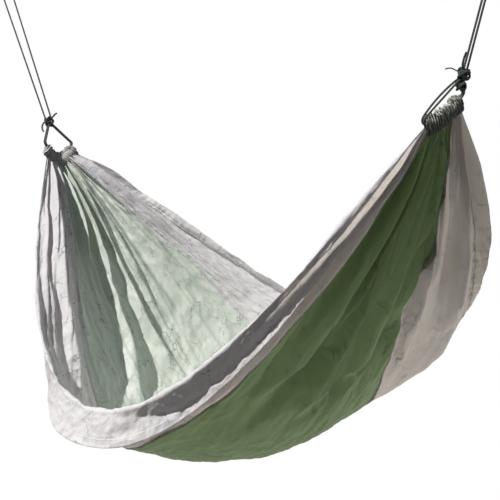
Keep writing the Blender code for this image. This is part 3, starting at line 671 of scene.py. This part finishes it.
def makeCordFinish():
    # a braid: strands that slant both ways round the cord, with paler flecks
    made, tree, shader = makeFinish("dark green cord", cord["skin"])
    parts = addNode(tree, "ShaderNodeSeparateXYZ", {0: flatMap(tree, "along")})
    turn = maths(tree, "MULTIPLY", parts.outputs[0], 2 * math.pi * cord["turns"])
    waves = []
    for slant in (1.0, -1.0):
        run = maths(tree, "MULTIPLY_ADD", parts.outputs[1], slant * 2 * math.pi * cord["pitch"], turn)
        waves.append(maths(tree, "SINE", run))
    share = stretched(tree, maths(tree, "MULTIPLY", *waves), cord["fleckSpan"])
    dress(tree, shader, mixed(tree, share, linear(cord["colour"]), linear(cord["flecks"])),
          bumped(tree, maths(tree, "MAXIMUM", *waves), *cord["relief"]))
    return made


steelLook = {"dark": (150, 152, 154), "pale": (206, 208, 210), "rough": (0.28, 0.52), "cloud": 160.0,
             "relief": (0.15, 0.0003)}


def makeSteel():
    made, tree, shader = makeFinish("zinc plated steel", {"Metallic": 1.0})
    place = addNode(tree, "ShaderNodeTexCoord", {}).outputs["Object"]
    cloud = noiseNode(tree, place, steelLook["cloud"], 5.0)["Fac"]
    tree.links.new(stretched(tree, cloud, (0.0, 1.0), steelLook["rough"]), shader.inputs["Roughness"])
    dress(tree, shader, mixed(tree, cloud, linear(steelLook["dark"]), linear(steelLook["pale"])),
          bumped(tree, cloud, *steelLook["relief"]))
    return made


cloths = {}
# each tint gets an outside finish with painted shade and an inside finish with painted light
for tint in ("grey", "green"):
    cloths[tint] = [makeNylon(f"{tint} nylon {face}", nylon[tint][face]) for face in ("outside", "inside")]
gathered = {end: makeGathered(f"gathered nylon {end}", ruffled[end]) for end in ("left", "right")}
cordFinish = makeCordFinish()
steel = makeSteel()
print("materials made")


# Sheets

def addPiece(name, mesh):
    piece = bpy.data.objects.new(name, mesh)
    bpy.context.scene.collection.objects.link(piece)
    return piece


def buildPiece(name, corners, faces, uvs, uvName, finishes, body="hammock"):
    # a smooth piece that stands for the CAD node of its name: left_rope for leftRope
    mesh = bpy.data.meshes.new(name)
    mesh.from_pydata((corners - hookPoint).tolist(), [], faces)
    mesh.uv_layers.new(name=uvName).data.foreach_set("uv", np.array(uvs, dtype=float).ravel())
    for finish in finishes:
        mesh.materials.append(finish)
    mesh.shade_smooth()
    piece = addPiece(name, mesh)
    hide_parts("".join("_" + c.lower() if c.isupper() else c for c in name))
    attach(piece, body)
    return piece


def lengthSteps(rows):
    # values of u at even steps along the hanging cloth
    u = np.linspace(-1, 1, 2001)
    run = runAlong(bodyPoint(u, np.full_like(u, bed["width"] / 2)))
    return np.interp(np.linspace(0, run[-1], rows + 1), run, u)


tuck = 0.002       # how far a panel runs under its seam or hem
farHemAt = bed["width"] - bed["hem"]
sheets = {
    # from and to across the flat cloth, rows along it and columns across it, thickness and tint
    "centrePanel": (nearSeamAt - tuck, farSeamAt + tuck, 300, 160, bed["cloth"], "green"),
    "nearSidePanel": (bed["hem"] - tuck, nearSeamAt + tuck, 480, 92, bed["cloth"], "grey"),
    "farSidePanel": (farSeamAt - tuck, farHemAt + tuck, 480, 92, bed["cloth"], "grey"),
    "nearHem": (0.0, bed["hem"], 480, 8, bed["hemCloth"], "grey"),
    "farHem": (farHemAt, bed["width"], 480, 8, bed["hemCloth"], "grey"),
    "nearSeam": (nearSeamAt, nearSeamAt, 480, 5, bed["seamCloth"], "grey"),
    "farSeam": (farSeamAt, farSeamAt, 480, 5, bed["seamCloth"], "grey"),
}
clothEnd = {"at": 0.9935, "thin": 0.35, "run": 0.05}      # it stops, thinned, inside its channels
sheetFaces = {}


def seamHalf(u, w):
    # a seam is a stiff strip that isn't drawn in as far as the cloth beside it
    flat = u.ravel()
    half = np.maximum(bed["seam"] / 2, bed["seamDrawn"] / crowding(flat, np.full_like(flat, w)))
    return half.reshape(u.shape)


def makeSheet(name):
    start, end, rows, columns, thickness, tint = sheets[name]
    u, t = np.meshgrid(lengthSteps(rows) * clothEnd["at"], np.linspace(0, 1, columns + 1), indexing="ij")
    half = seamHalf(u, start) if start == end else 0.0
    w = (start - half) * (1 - t) + (end + half) * t
    place = clothPoint(u.ravel(), w.ravel()).reshape(rows + 1, columns + 1, 3)
    normal = unit(np.cross(np.gradient(place, axis=1), np.gradient(place, axis=0)))
    thin = thickness / 2 * blendTo(clothEnd["thin"], 1.0, smooth((1 - np.abs(u)) / clothEnd["run"]))
    low, high = place + normal * thin[..., None], place - normal * thin[..., None]
    sheetFaces[name] = (low, high, normal)
    count = (rows + 1) * (columns + 1)
    index = np.arange(count).reshape(rows + 1, columns + 1)
    a, b, c, d = index[:-1, :-1], index[:-1, 1:], index[1:, 1:], index[1:, :-1]
    under = np.stack([a, b, c, d], -1).reshape(-1, 4)
    over = np.stack([a, d, c, b], -1).reshape(-1, 4) + count
    rim = np.concatenate([index[0, :], index[1:, -1], index[-1, -2::-1], index[-2:0:-1, 0]])
    after = np.roll(rim, -1)
    faces = np.concatenate([under, over, np.stack([rim, rim + count, after + count, after], -1)])
    corners = np.concatenate([low.reshape(-1, 3), high.reshape(-1, 3)])
    flat = np.stack([(u.ravel() + 1) / 2 * bed["length"], w.ravel()], -1)
    uvs = np.concatenate([flat, flat])[faces.ravel()]
    piece = buildPiece(name, corners, faces.tolist(), uvs, "flat", cloths[tint])
    # the under faces take the outside finish, with its painted shade, and the over faces the inside finish,
    # with its painted light
    slots = np.zeros(len(faces), dtype=np.int32)
    slots[len(under):len(under) + len(over)] = 1
    piece.data.polygons.foreach_set("material_index", slots)
    print(name, "made of", 2 * len(faces), "triangles")
    return piece


cloth = {name: makeSheet(name) for name in sheets}
print("cloth made")


# Stitching: rows of short threads that lie on both faces of every seam and hem

stitching = {
    "rows": {"nearSeam": (1, 4), "farSeam": (1, 4), "nearHem": (7,), "farHem": (1,)},
    "sizes": {"Pitch": 0.0048, "Stitch length": 0.0036, "Thread thickness": 0.00072},
    "proud": 0.00012, "sides": 6, "rings": 3,
    "colour": (176, 176, 172), "shade": (132, 134, 130), "cloud": 55.0, "ply": 900.0,
    "relief": (0.5, 0.0002),
}


def makeThread():
    made, tree, shader = makeFinish("polyester thread", {"Roughness": 0.5, "Sheen Weight": 0.2})
    place = addNode(tree, "ShaderNodeTexCoord", {}).outputs["Object"]
    cloud = noiseNode(tree, place, stitching["cloud"], 2.0)["Fac"]
    ply = addNode(tree, "ShaderNodeTexWave", {"Vector": place, "Scale": stitching["ply"], "Distortion": 1.5})
    dress(tree, shader, mixed(tree, cloud, linear(stitching["shade"]), linear(stitching["colour"])),
          bumped(tree, ply.outputs["Fac"], *stitching["relief"]))
    return made


def stitchTree(finish):
    # a row of points becomes a curve, and a thread is laid at every step along it
    tree = bpy.data.node_groups.new("stitch rows", "GeometryNodeTree")
    face = tree.interface
    for way in ("INPUT", "OUTPUT"):
        face.new_socket("Geometry", in_out=way, socket_type="NodeSocketGeometry")
    for name in stitching["sizes"]:
        face.new_socket(name, in_out="INPUT", socket_type="NodeSocketFloat")
    given = addNode(tree, "NodeGroupInput", {}).outputs
    thick = given["Thread thickness"]
    curve = addNode(tree, "GeometryNodeMeshToCurve", {0: given["Geometry"]})
    steps = addNode(tree, "GeometryNodeCurveToPoints", {"Curve": curve.outputs[0], "Length": given["Pitch"]},
                    mode="LENGTH")
    ball = addNode(tree, "GeometryNodeMeshUVSphere", {
        "Segments": stitching["sides"], "Rings": stitching["rings"], "Radius": 0.5})
    size = addNode(tree, "ShaderNodeCombineXYZ", {0: thick, 1: thick, 2: given["Stitch length"]})
    thread = addNode(tree, "GeometryNodeTransform", {"Geometry": ball.outputs[0], "Scale": size.outputs[0]})
    laid = addNode(tree, "GeometryNodeInstanceOnPoints", {
        "Points": steps.outputs["Points"], "Instance": thread.outputs[0],
        "Rotation": steps.outputs["Rotation"]})
    whole = addNode(tree, "GeometryNodeRealizeInstances", {0: laid.outputs[0]})
    coloured = addNode(tree, "GeometryNodeSetMaterial", {"Geometry": whole.outputs[0], "Material": finish})
    addNode(tree, "NodeGroupOutput", {0: coloured.outputs[0]})
    return tree


def makeStitches():
    points, edges = [], []
    for name, columns in stitching["rows"].items():
        low, high, normal = sheetFaces[name]
        for column in columns:
            for face, side in ((low, 1), (high, -1)):
                row = face[:, column] + normal[:, column] * side * stitching["proud"] - hookPoint
                edges += [(len(points) + k, len(points) + k + 1) for k in range(len(row) - 1)]
                points += row.tolist()
    rows = bpy.data.meshes.new("stitch rows")
    rows.from_pydata(points, edges, [])
    guide = addPiece("stitchGuide", rows)
    tree = stitchTree(makeThread())
    modifier = guide.modifiers.new("stitch rows", "NODES")
    modifier.node_group = tree
    for item in tree.interface.items_tree:
        if item.in_out == "INPUT" and item.name in stitching["sizes"]:
            modifier[item.identifier] = stitching["sizes"][item.name]
    bpy.context.view_layer.update()
    mesh = bpy.data.meshes.new_from_object(guide.evaluated_get(bpy.context.evaluated_depsgraph_get()))
    bpy.data.objects.remove(guide)
    mesh.name = "stitches"
    mesh.shade_smooth()
    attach(addPiece("stitches", mesh), "hammock")
    print("stitches", len(mesh.polygons) // (stitching["sides"] * stitching["rings"]))


makeStitches()


# Cords, knots and links: tubes along smooth lines

def smoothLine(points, spacing):
    # even points along the smooth curve through the given ones
    points = np.asarray(points, dtype=float)
    ends = np.vstack([2 * points[0] - points[1], points, 2 * points[-1] - points[-2]])
    t = np.linspace(0, len(points) - 1, (len(points) - 1) * 24 + 1)
    i = np.minimum(t.astype(int), len(points) - 2)
    f = (t - i)[:, None]
    a, b, c, d = ends[i], ends[i + 1], ends[i + 2], ends[i + 3]
    square, cube = 2 * a - 5 * b + 4 * c - d, 3 * b - a - 3 * c + d
    fine = 0.5 * (2 * b + (c - a) * f + square * f * f + cube * f ** 3)
    run = runAlong(fine)
    goal = np.linspace(0, run[-1], max(2, round(run[-1] / spacing)) + 1)
    return np.stack([np.interp(goal, run, fine[:, k]) for k in range(3)], -1)


def lineLength(line):
    return float(length(np.diff(line, axis=0)).sum())


def ringQuads(rows, sides, closed=False):
    # row, side and next row of every face between one ring of points and the next, and its four corners
    k, j = np.meshgrid(np.arange(rows if closed else rows - 1), np.arange(sides), indexing="ij")
    k, j = k.ravel(), j.ravel()
    n, m = (k + 1) % rows, (j + 1) % sides
    return k, j, n, np.stack([k * sides + j, k * sides + m, n * sides + m, n * sides + j], -1)


tubeTip = [(0.985, 0.17), (0.80, 0.60), (0.45, 0.89)]      # how far out and how wide the tip is, in radii


def tube(line, radius, sides, closed=False):
    # corners, faces and UVs (turns round, metres along) of a tube with rounded tips
    line, radius = np.asarray(line, dtype=float), np.broadcast_to(radius, len(line)).astype(float)
    if closed:
        ahead = unit(np.roll(line, -1, 0) - np.roll(line, 1, 0))
    else:
        ahead = unit(np.gradient(line, axis=0))
        far, wide = np.array(tubeTip).T
        start, end = ahead[0] * radius[0] * far[:, None], ahead[-1] * radius[-1] * far[::-1, None]
        line = np.vstack([line[0] - start, line, line[-1] + end])
        ahead = np.vstack([[ahead[0]] * 3, ahead, [ahead[-1]] * 3])
        radius = np.concatenate([radius[0] * wide, radius, radius[-1] * wide[::-1]])
    count = len(line)
    side = np.zeros_like(line)
    side[0] = unit(np.cross(ahead[0], (0.31, 0.52, 0.80)))     # no line starts in that direction
    for k in range(1, count):
        side[k] = unit(side[k - 1] - ahead[k] * (side[k - 1] @ ahead[k]))
    other = np.cross(ahead, side)
    if closed:     # undo the twist that is left where the ring closes
        last = side[-1] - ahead[0] * (side[-1] @ ahead[0])
        twist = math.atan2(np.cross(last, side[0]) @ ahead[0], last @ side[0])
        turn = (np.arange(count) / count * twist)[:, None]
        side, other = side * np.cos(turn) + other * np.sin(turn), other * np.cos(turn) - side * np.sin(turn)
    a = np.arange(sides) / sides * 2 * math.pi
    ring = side[:, None] * np.cos(a)[None, :, None] + other[:, None] * np.sin(a)[None, :, None]
    corners = (line[:, None] + ring * radius[:, None, None]).reshape(-1, 3)
    run = runAlong(line)
    k, j, n, faces = ringQuads(count, sides, closed)
    after = np.where(n > 0, run[n], run[-1] + 0.002)
    around = np.stack([j, j + 1, j + 1, j], -1) / sides
    uvs = np.stack([around, np.stack([run[k], run[k], after, after], -1)], -1).reshape(-1, 2).tolist()
    faces = faces.tolist()
    if not closed:
        cap = radius[3] * 0.02      # the tips end in a point just beyond their last ring
        corners = np.vstack([corners, [line[0] - ahead[0] * cap, line[-1] + ahead[-1] * cap]])
        first, last = len(corners) - 2, len(corners) - 1
        for q in range(sides):
            faces.append([first, (q + 1) % sides, q])
            faces.append([last, (count - 1) * sides + q, (count - 1) * sides + (q + 1) % sides])
            uvs += [(q / sides, 0)] * 3 + [(q / sides, run[-1])] * 3
    return corners, faces, uvs


def joined(parts):
    corners, faces, uvs = [], [], []
    for partCorners, partFaces, partUvs in parts:
        base = sum(len(c) for c in corners)
        corners.append(partCorners)
        faces += [[base + v for v in face] for face in partFaces]
        uvs += list(partUvs)
    return np.vstack(corners), faces, uvs


knots = {
    "leftKnot": {"at": (-0.804, -0.07, 0.0865), "axis": (-0.4, 0.05, 0.9), "loop": 0.0098, "fat": 0.0054,
                 "tall": 0.0125},
    "rightUpperKnot": {"at": (0.829, -0.013, 0.084), "axis": (0.3, 0.1, 0.95), "loop": 0.011, "fat": 0.0056,
                       "tall": 0.0115},
    "rightLowerKnot": {"at": (0.82, -0.013, 0.0545), "axis": (0.3, -0.2, 0.95), "loop": 0.0084, "fat": 0.0046,
                       "tall": 0.0095},
}
# each strand of a knot as (shift, growth), each wrap as (tilt, shift)
knotLay = {"strands": ((-0.5, 1.0), (0.5, 1.06)), "wraps": ((0.5, 0.25), (-0.35, -0.3)), "apart": 0.62,
           "twist": 0.3, "pulled": 0.96, "outside": 0.0035, "steps": 72, "sides": 10}


def knotParts(spec):
    # a pulled-tight overhand knot in doubled cord: a trefoil laid twice, with two wraps round its waist
    at = np.array(spec["at"])
    axis = unit(np.array(spec["axis"]))
    side = unit(np.cross(axis, (0.2, 1.0, 0.1)))
    other = np.cross(axis, side)
    t = np.linspace(0, 2 * math.pi, knotLay["steps"] + 1)[:-1]
    parts = []
    for shift, grow in knotLay["strands"]:
        wide = (spec["loop"] + spec["fat"] * np.cos(3 * t)) * grow
        turn = 2 * t + knotLay["twist"] * shift
        rise = spec["tall"] * np.sin(3 * t) + shift * cord["gap"] * knotLay["apart"]
        line = (at + side * (wide * np.cos(turn))[:, None] + other * (wide * np.sin(turn))[:, None]
                + axis * rise[:, None])
        parts.append(tube(line, cord["radius"] * knotLay["pulled"], knotLay["sides"], closed=True))
    for tilt, shift in knotLay["wraps"]:
        flat = unit(np.cross(unit(axis + tilt * side), other))
        ring = flat * np.cos(t)[:, None] + other * np.sin(t)[:, None]
        wrap = at + axis * spec["tall"] * shift + ring * (spec["loop"] + knotLay["outside"])
        parts.append(tube(wrap, cord["radius"], knotLay["sides"], closed=True))
    return parts


for name, spec in knots.items():
    buildPiece(name, *joined(knotParts(spec)), "along", [cordFinish])
print("knots made")


def makeCord(name, line, thick=1.0):
    radius = cord["radius"] * thick
    piece = buildPiece(name, *tube(line, radius, cord["sides"]), "along", [cordFinish])
    print(name, round(lineLength(line), 3))


ropes = {
    "leftRope": {"bar": leftBar, "spread": 0.044, "front": (-0.814, -0.0793, 0.0987),
                 "back": (-0.8045, -0.0597, 0.0982)},
    "rightRope": {"bar": rightBar, "spread": 0.0, "front": (0.8317, -0.0179, 0.0972),
                  "back": (0.8332, -0.0051, 0.0952)},
}
ropeLay = {"clear": 0.0007, "bend": 0.008, "points": 9, "step": 0.006}
link = {"rod": 0.004, "halfBar": 0.028, "corner": 0.01, "height": 0.058, "apex": 0.013, "step": 0.003,
        "points": 9, "sides": 20, "weld": 0.0007, "weldAt": -0.012, "weldWide": 0.0022}


def ropeLine(spec):
    # taut from the knot, over the bar from front to back, and taut down again
    around = link["rod"] + cord["radius"] + ropeLay["clear"]
    turn = np.linspace(0, math.pi, ropeLay["points"])
    shift = (smooth(turn / math.pi) - 0.5) * spec["spread"]
    circle = np.array([0, -1.0, 0]) * np.cos(turn)[:, None] + linkUp * np.sin(turn)[:, None]
    lap = spec["bar"] + swingLine * shift[:, None] + circle * around

    def leg(lapEnd, foot):
        corner = lapEnd - linkUp * ropeLay["bend"]
        near = corner + unit(foot - corner) * ropeLay["bend"]
        straight = [near + (foot - near) * k for k in np.linspace(0, 1, ropeLay["points"])]
        return [lapEnd * 0.25 + corner * 0.5 + near * 0.25] + straight

    up, down = leg(lap[0], np.array(spec["front"]))[::-1], leg(lap[-1], np.array(spec["back"]))
    return smoothLine(np.array(up + list(lap) + down), ropeLay["step"])


for name, spec in ropes.items():
    makeCord(name, ropeLine(spec))

gatherCords = {
    "leftGatherCord": {
        "channel": leftChannel, "side": (1.0, 0.0, 0.0), "bulge": 0.0,
        "near": [(-0.8, -0.0746, 0.0806), (-0.7965, -0.0787, 0.075), (-0.7827, -0.0946, 0.0541),
                 (-0.769, -0.1105, 0.0332), (-0.7552, -0.1264, 0.0122), (-0.7507, -0.1291, 0.0026)],
        "far": [(-0.75, -0.0144, 0.0038), (-0.7527, -0.0125, 0.0143), (-0.7626, -0.0234, 0.0283),
                (-0.7767, -0.0394, 0.0482), (-0.7905, -0.0549, 0.0676), (-0.7962, -0.0615, 0.0758)],
    },
    "rightGatherCord": {
        "channel": rightChannel, "side": (0.89, -0.33, -0.31), "bulge": 1.5,
        "near": [(0.824, -0.017, 0.077), (0.8199, -0.0208, 0.0713), (0.8075, -0.0322, 0.056),
                 (0.7925, -0.045, 0.0358), (0.7745, -0.0604, 0.0096), (0.758, -0.0735, -0.016),
                 (0.7485, -0.08, -0.032), (0.745, -0.0765, -0.043)],
        "far": [(0.7914, 0.0358, 0.0327), (0.7964, 0.0386, 0.042), (0.802, 0.0311, 0.0478),
                (0.8076, 0.0187, 0.0514), (0.8132, 0.0062, 0.0551), (0.8165, -0.0015, 0.0553)],
    },
}
gatherLay = {"step": 0.004, "points": 9, "fold": (0.4, 2.74, 6)}      # fold: first and last angle, points


def gatherLine(spec):
    # doubled: out through the channel, round a fold inside the knot, and back beside itself
    inside = bow(spec["channel"], np.linspace(0, 1, gatherLay["points"]))
    course = smoothLine(np.vstack([spec["near"], inside, spec["far"]]), gatherLay["step"])
    shift = unit(np.array(spec["side"])) * cord["gap"] / 2
    free = lineLength(np.array(spec["near"])) / gatherLay["step"]
    bowed = 1 + spec["bulge"] * np.sin(math.pi * np.clip(np.arange(len(course)) / free, 0, 1))[:, None]
    ahead = unit(course[-1] - course[-2]) * cord["gap"] / 2
    angles = np.linspace(*gatherLay["fold"])
    fold = [course[-1] + ahead * math.sin(a) - shift * math.cos(a) for a in angles]
    return np.vstack([course - shift * bowed, fold, (course + shift * bowed)[::-1]])


for name, spec in gatherCords.items():
    makeCord(name, gatherLine(spec))

tails = {
    "leftTailLong": [(-0.795, -0.07, 0.0928), (-0.7915, -0.07, 0.096), (-0.7841, -0.0703, 0.1022),
                     (-0.7712, -0.07, 0.1103), (-0.764, -0.0696, 0.113)],
    "leftTailShort": [(-0.8235, -0.07, 0.0878), (-0.8313, -0.0704, 0.0862), (-0.8376, -0.07, 0.0815),
                      (-0.8425, -0.07, 0.074), (-0.842, -0.0698, 0.064), (-0.837, -0.069, 0.055)],
    "rightTailLong": [(0.8335, -0.025, 0.097), (0.8365, -0.0325, 0.1045), (0.8432, -0.0381, 0.1184),
                      (0.851, -0.04, 0.1335)],
    "rightTailShort": [(0.817, -0.019, 0.0912), (0.8101, -0.0227, 0.0953), (0.801, -0.0252, 0.1008),
                       (0.7895, -0.0262, 0.1025), (0.7822, -0.027, 0.1008)],
}
tailLay = {"step": 0.003, "thin": {"rightTailShort": 0.62}}     # thin: one strand of the frayed end
for name, points in tails.items():
    thick = tailLay["thin"].get(name, 1.0)
    makeCord(name, smoothLine(points, tailLay["step"]), thick)
print("cords made")


def linkLine(bar):
    # the rod's middle line: a triangle with round corners, its bar below and its apex above
    corner = np.array([link["halfBar"], link["corner"]])
    apex = np.array([0.0, link["height"] - link["apex"]])
    reach = apex - corner
    tilt = math.atan2(reach[1], reach[0]) - math.acos((link["corner"] - link["apex"]) / np.hypot(*reach))

    def arc(centre, radius, start, end):
        angles = np.linspace(start, end, link["points"])
        return [centre + radius * np.array([math.cos(a), math.sin(a)]) for a in angles]

    half = arc(corner, link["corner"], -math.pi / 2, tilt) + arc(apex, link["apex"], tilt, math.pi / 2)
    flat = np.array(half + [(-x, y) for x, y in half[-2::-1]])
    rows = []
    for a, b in zip(flat, np.roll(flat, -1, axis=0)):     # even steps, also along the straight runs
        steps = max(1, round(float(np.hypot(*(b - a))) / link["step"]))
        rows += [a + (b - a) * k / steps for k in range(steps)]
    rows = np.array(rows)
    return bar + swingLine * rows[:, :1] + linkUp * rows[:, 1:], rows


for name, bar in (("leftLink", leftBar), ("rightLink", rightBar)):
    line, flat = linkLine(bar)
    weld = np.exp(-((flat[:, 0] - link["weldAt"]) / link["weldWide"]) ** 2) * (flat[:, 1] < link["rod"])
    rod = tube(line, link["rod"] + link["weld"] * weld, link["sides"], closed=True)
    buildPiece(name, *rod, "along", [steel], "links")
print("links made")


# Gathered channels

channel = {"ruffles": 30, "core": 0.01, "bore": 0.0073, "tooth": {"left": 0.0055, "right": 0.0145},
           "sharp": 1.4, "reach": 2.8, "lean": 0.0016, "over": 0.02, "mouth": 0.06, "flat": (0.115, 0.012),
           "steps": 12, "sides": 40}


def makeChannel(end, path, sign):
    # a tight sleeve of pleats round the gather cord, drawn out into the cloth on the bed's side
    over, mouth = channel["over"], channel["mouth"]
    t = np.linspace(-over, 1 + over, channel["ruffles"] * channel["steps"] + 1)
    middle = bow(path, t)
    ahead = unit(np.gradient(middle, axis=0))
    share = np.clip((t - channelMargin) / (1 - 2 * channelMargin), 0, 1)
    w = bed["collar"] + (bed["width"] - bed["collar"]) * share
    inwards = basePoint(np.full_like(t, sign * 0.95), w) - basePoint(np.full_like(t, sign), w)
    inwards = unit(inwards - ahead * (inwards * ahead).sum(-1, keepdims=True))
    up = np.cross(ahead, inwards)
    a = np.arange(channel["sides"]) / channel["sides"] * 2 * math.pi
    tt, aa = np.meshgrid(t, a, indexing="ij")

    # every pleat stands out on its own height, least of all on the bed's side
    drift = 2.6 * noiseA(tt * 11 + sign, aa * 0) + 0.9 * noiseB(tt * 30, np.cos(aa) * 1.5)
    phase = 2 * math.pi * channel["ruffles"] * tt + drift
    tooth = (0.5 + 0.5 * np.cos(phase)) ** channel["sharp"]
    lift = np.clip(0.55 + 0.9 * noiseC(tt * 23, np.sin(aa) + 2 * sign), 0.12, 1.2)
    back = 0.5 - 0.5 * np.cos(aa)
    far = channel["core"] * (1 + channel["reach"] * np.maximum(0, np.cos(aa)) ** 4)
    r = far * (0.78 + 0.22 * tooth) + channel["tooth"][end] * tooth * lift * (0.15 + 0.85 * back)
    r = r * (0.55 + 0.45 * smooth((tt + over) / mouth)) * (0.55 + 0.45 * smooth((1 + over - tt) / mouth))
    # the share of painted highlight: most on a pleat's top, less on the bed's side
    crest = tooth * (0.35 + 0.65 * back) * (0.6 + 0.4 * lift)

    ring = inwards[:, None] * np.cos(aa)[..., None] + up[:, None] * np.sin(aa)[..., None]
    lean = ahead[:, None] * (channel["lean"] * np.cos(phase * 0.5 + 2 * aa))[..., None]
    outer = middle[:, None] + ring * r[..., None] + lean
    bore = middle[:, None] + ring * np.minimum(channel["bore"], r * 0.9)[..., None]
    rows, sides = outer.shape[:2]
    base, last = rows * sides, (rows - 1) * sides
    outFaces = ringQuads(rows, sides)[3]
    q = np.arange(sides)
    n = (q + 1) % sides
    endA = np.stack([n, q, q + base, n + base], -1)
    endB = np.stack([last + q, last + n, last + n + base, last + q + base], -1)
    faces = np.concatenate([outFaces, outFaces[:, [1, 0, 3, 2]] + base, endA, endB])
    corners = np.concatenate([outer.reshape(-1, 3), bore.reshape(-1, 3)])
    flat = np.stack([tt * channel["flat"][0] + 3 * sign, aa * channel["flat"][1]], -1).reshape(-1, 2)
    uvs = np.concatenate([flat, flat])[faces.ravel()]
    piece = buildPiece(end + "Channel", corners, faces.tolist(), uvs, "flat", [gathered[end]])
    # the painted-highlight share goes to the gathered finish as the crest attribute
    level = piece.data.attributes.new("crest", "FLOAT", "POINT")
    level.data.foreach_set("value", np.tile(crest.ravel(), 2))


makeChannel("left", leftChannel, -1)
makeChannel("right", rightChannel, 1)
print("channels made")

sideWidth = bed["sidePanel"] - bed["hem"]
sewn = {
    "centrePanel": (bed["width"] - 2 * bed["sidePanel"], []),
    "nearSidePanel": (sideWidth, ["nearHem", "nearSeam"]),
    "farSidePanel": (sideWidth, ["farHem", "farSeam"]),
}
for name, (wide, strips) in sewn.items():
    [cloth[strip] for strip in strips]
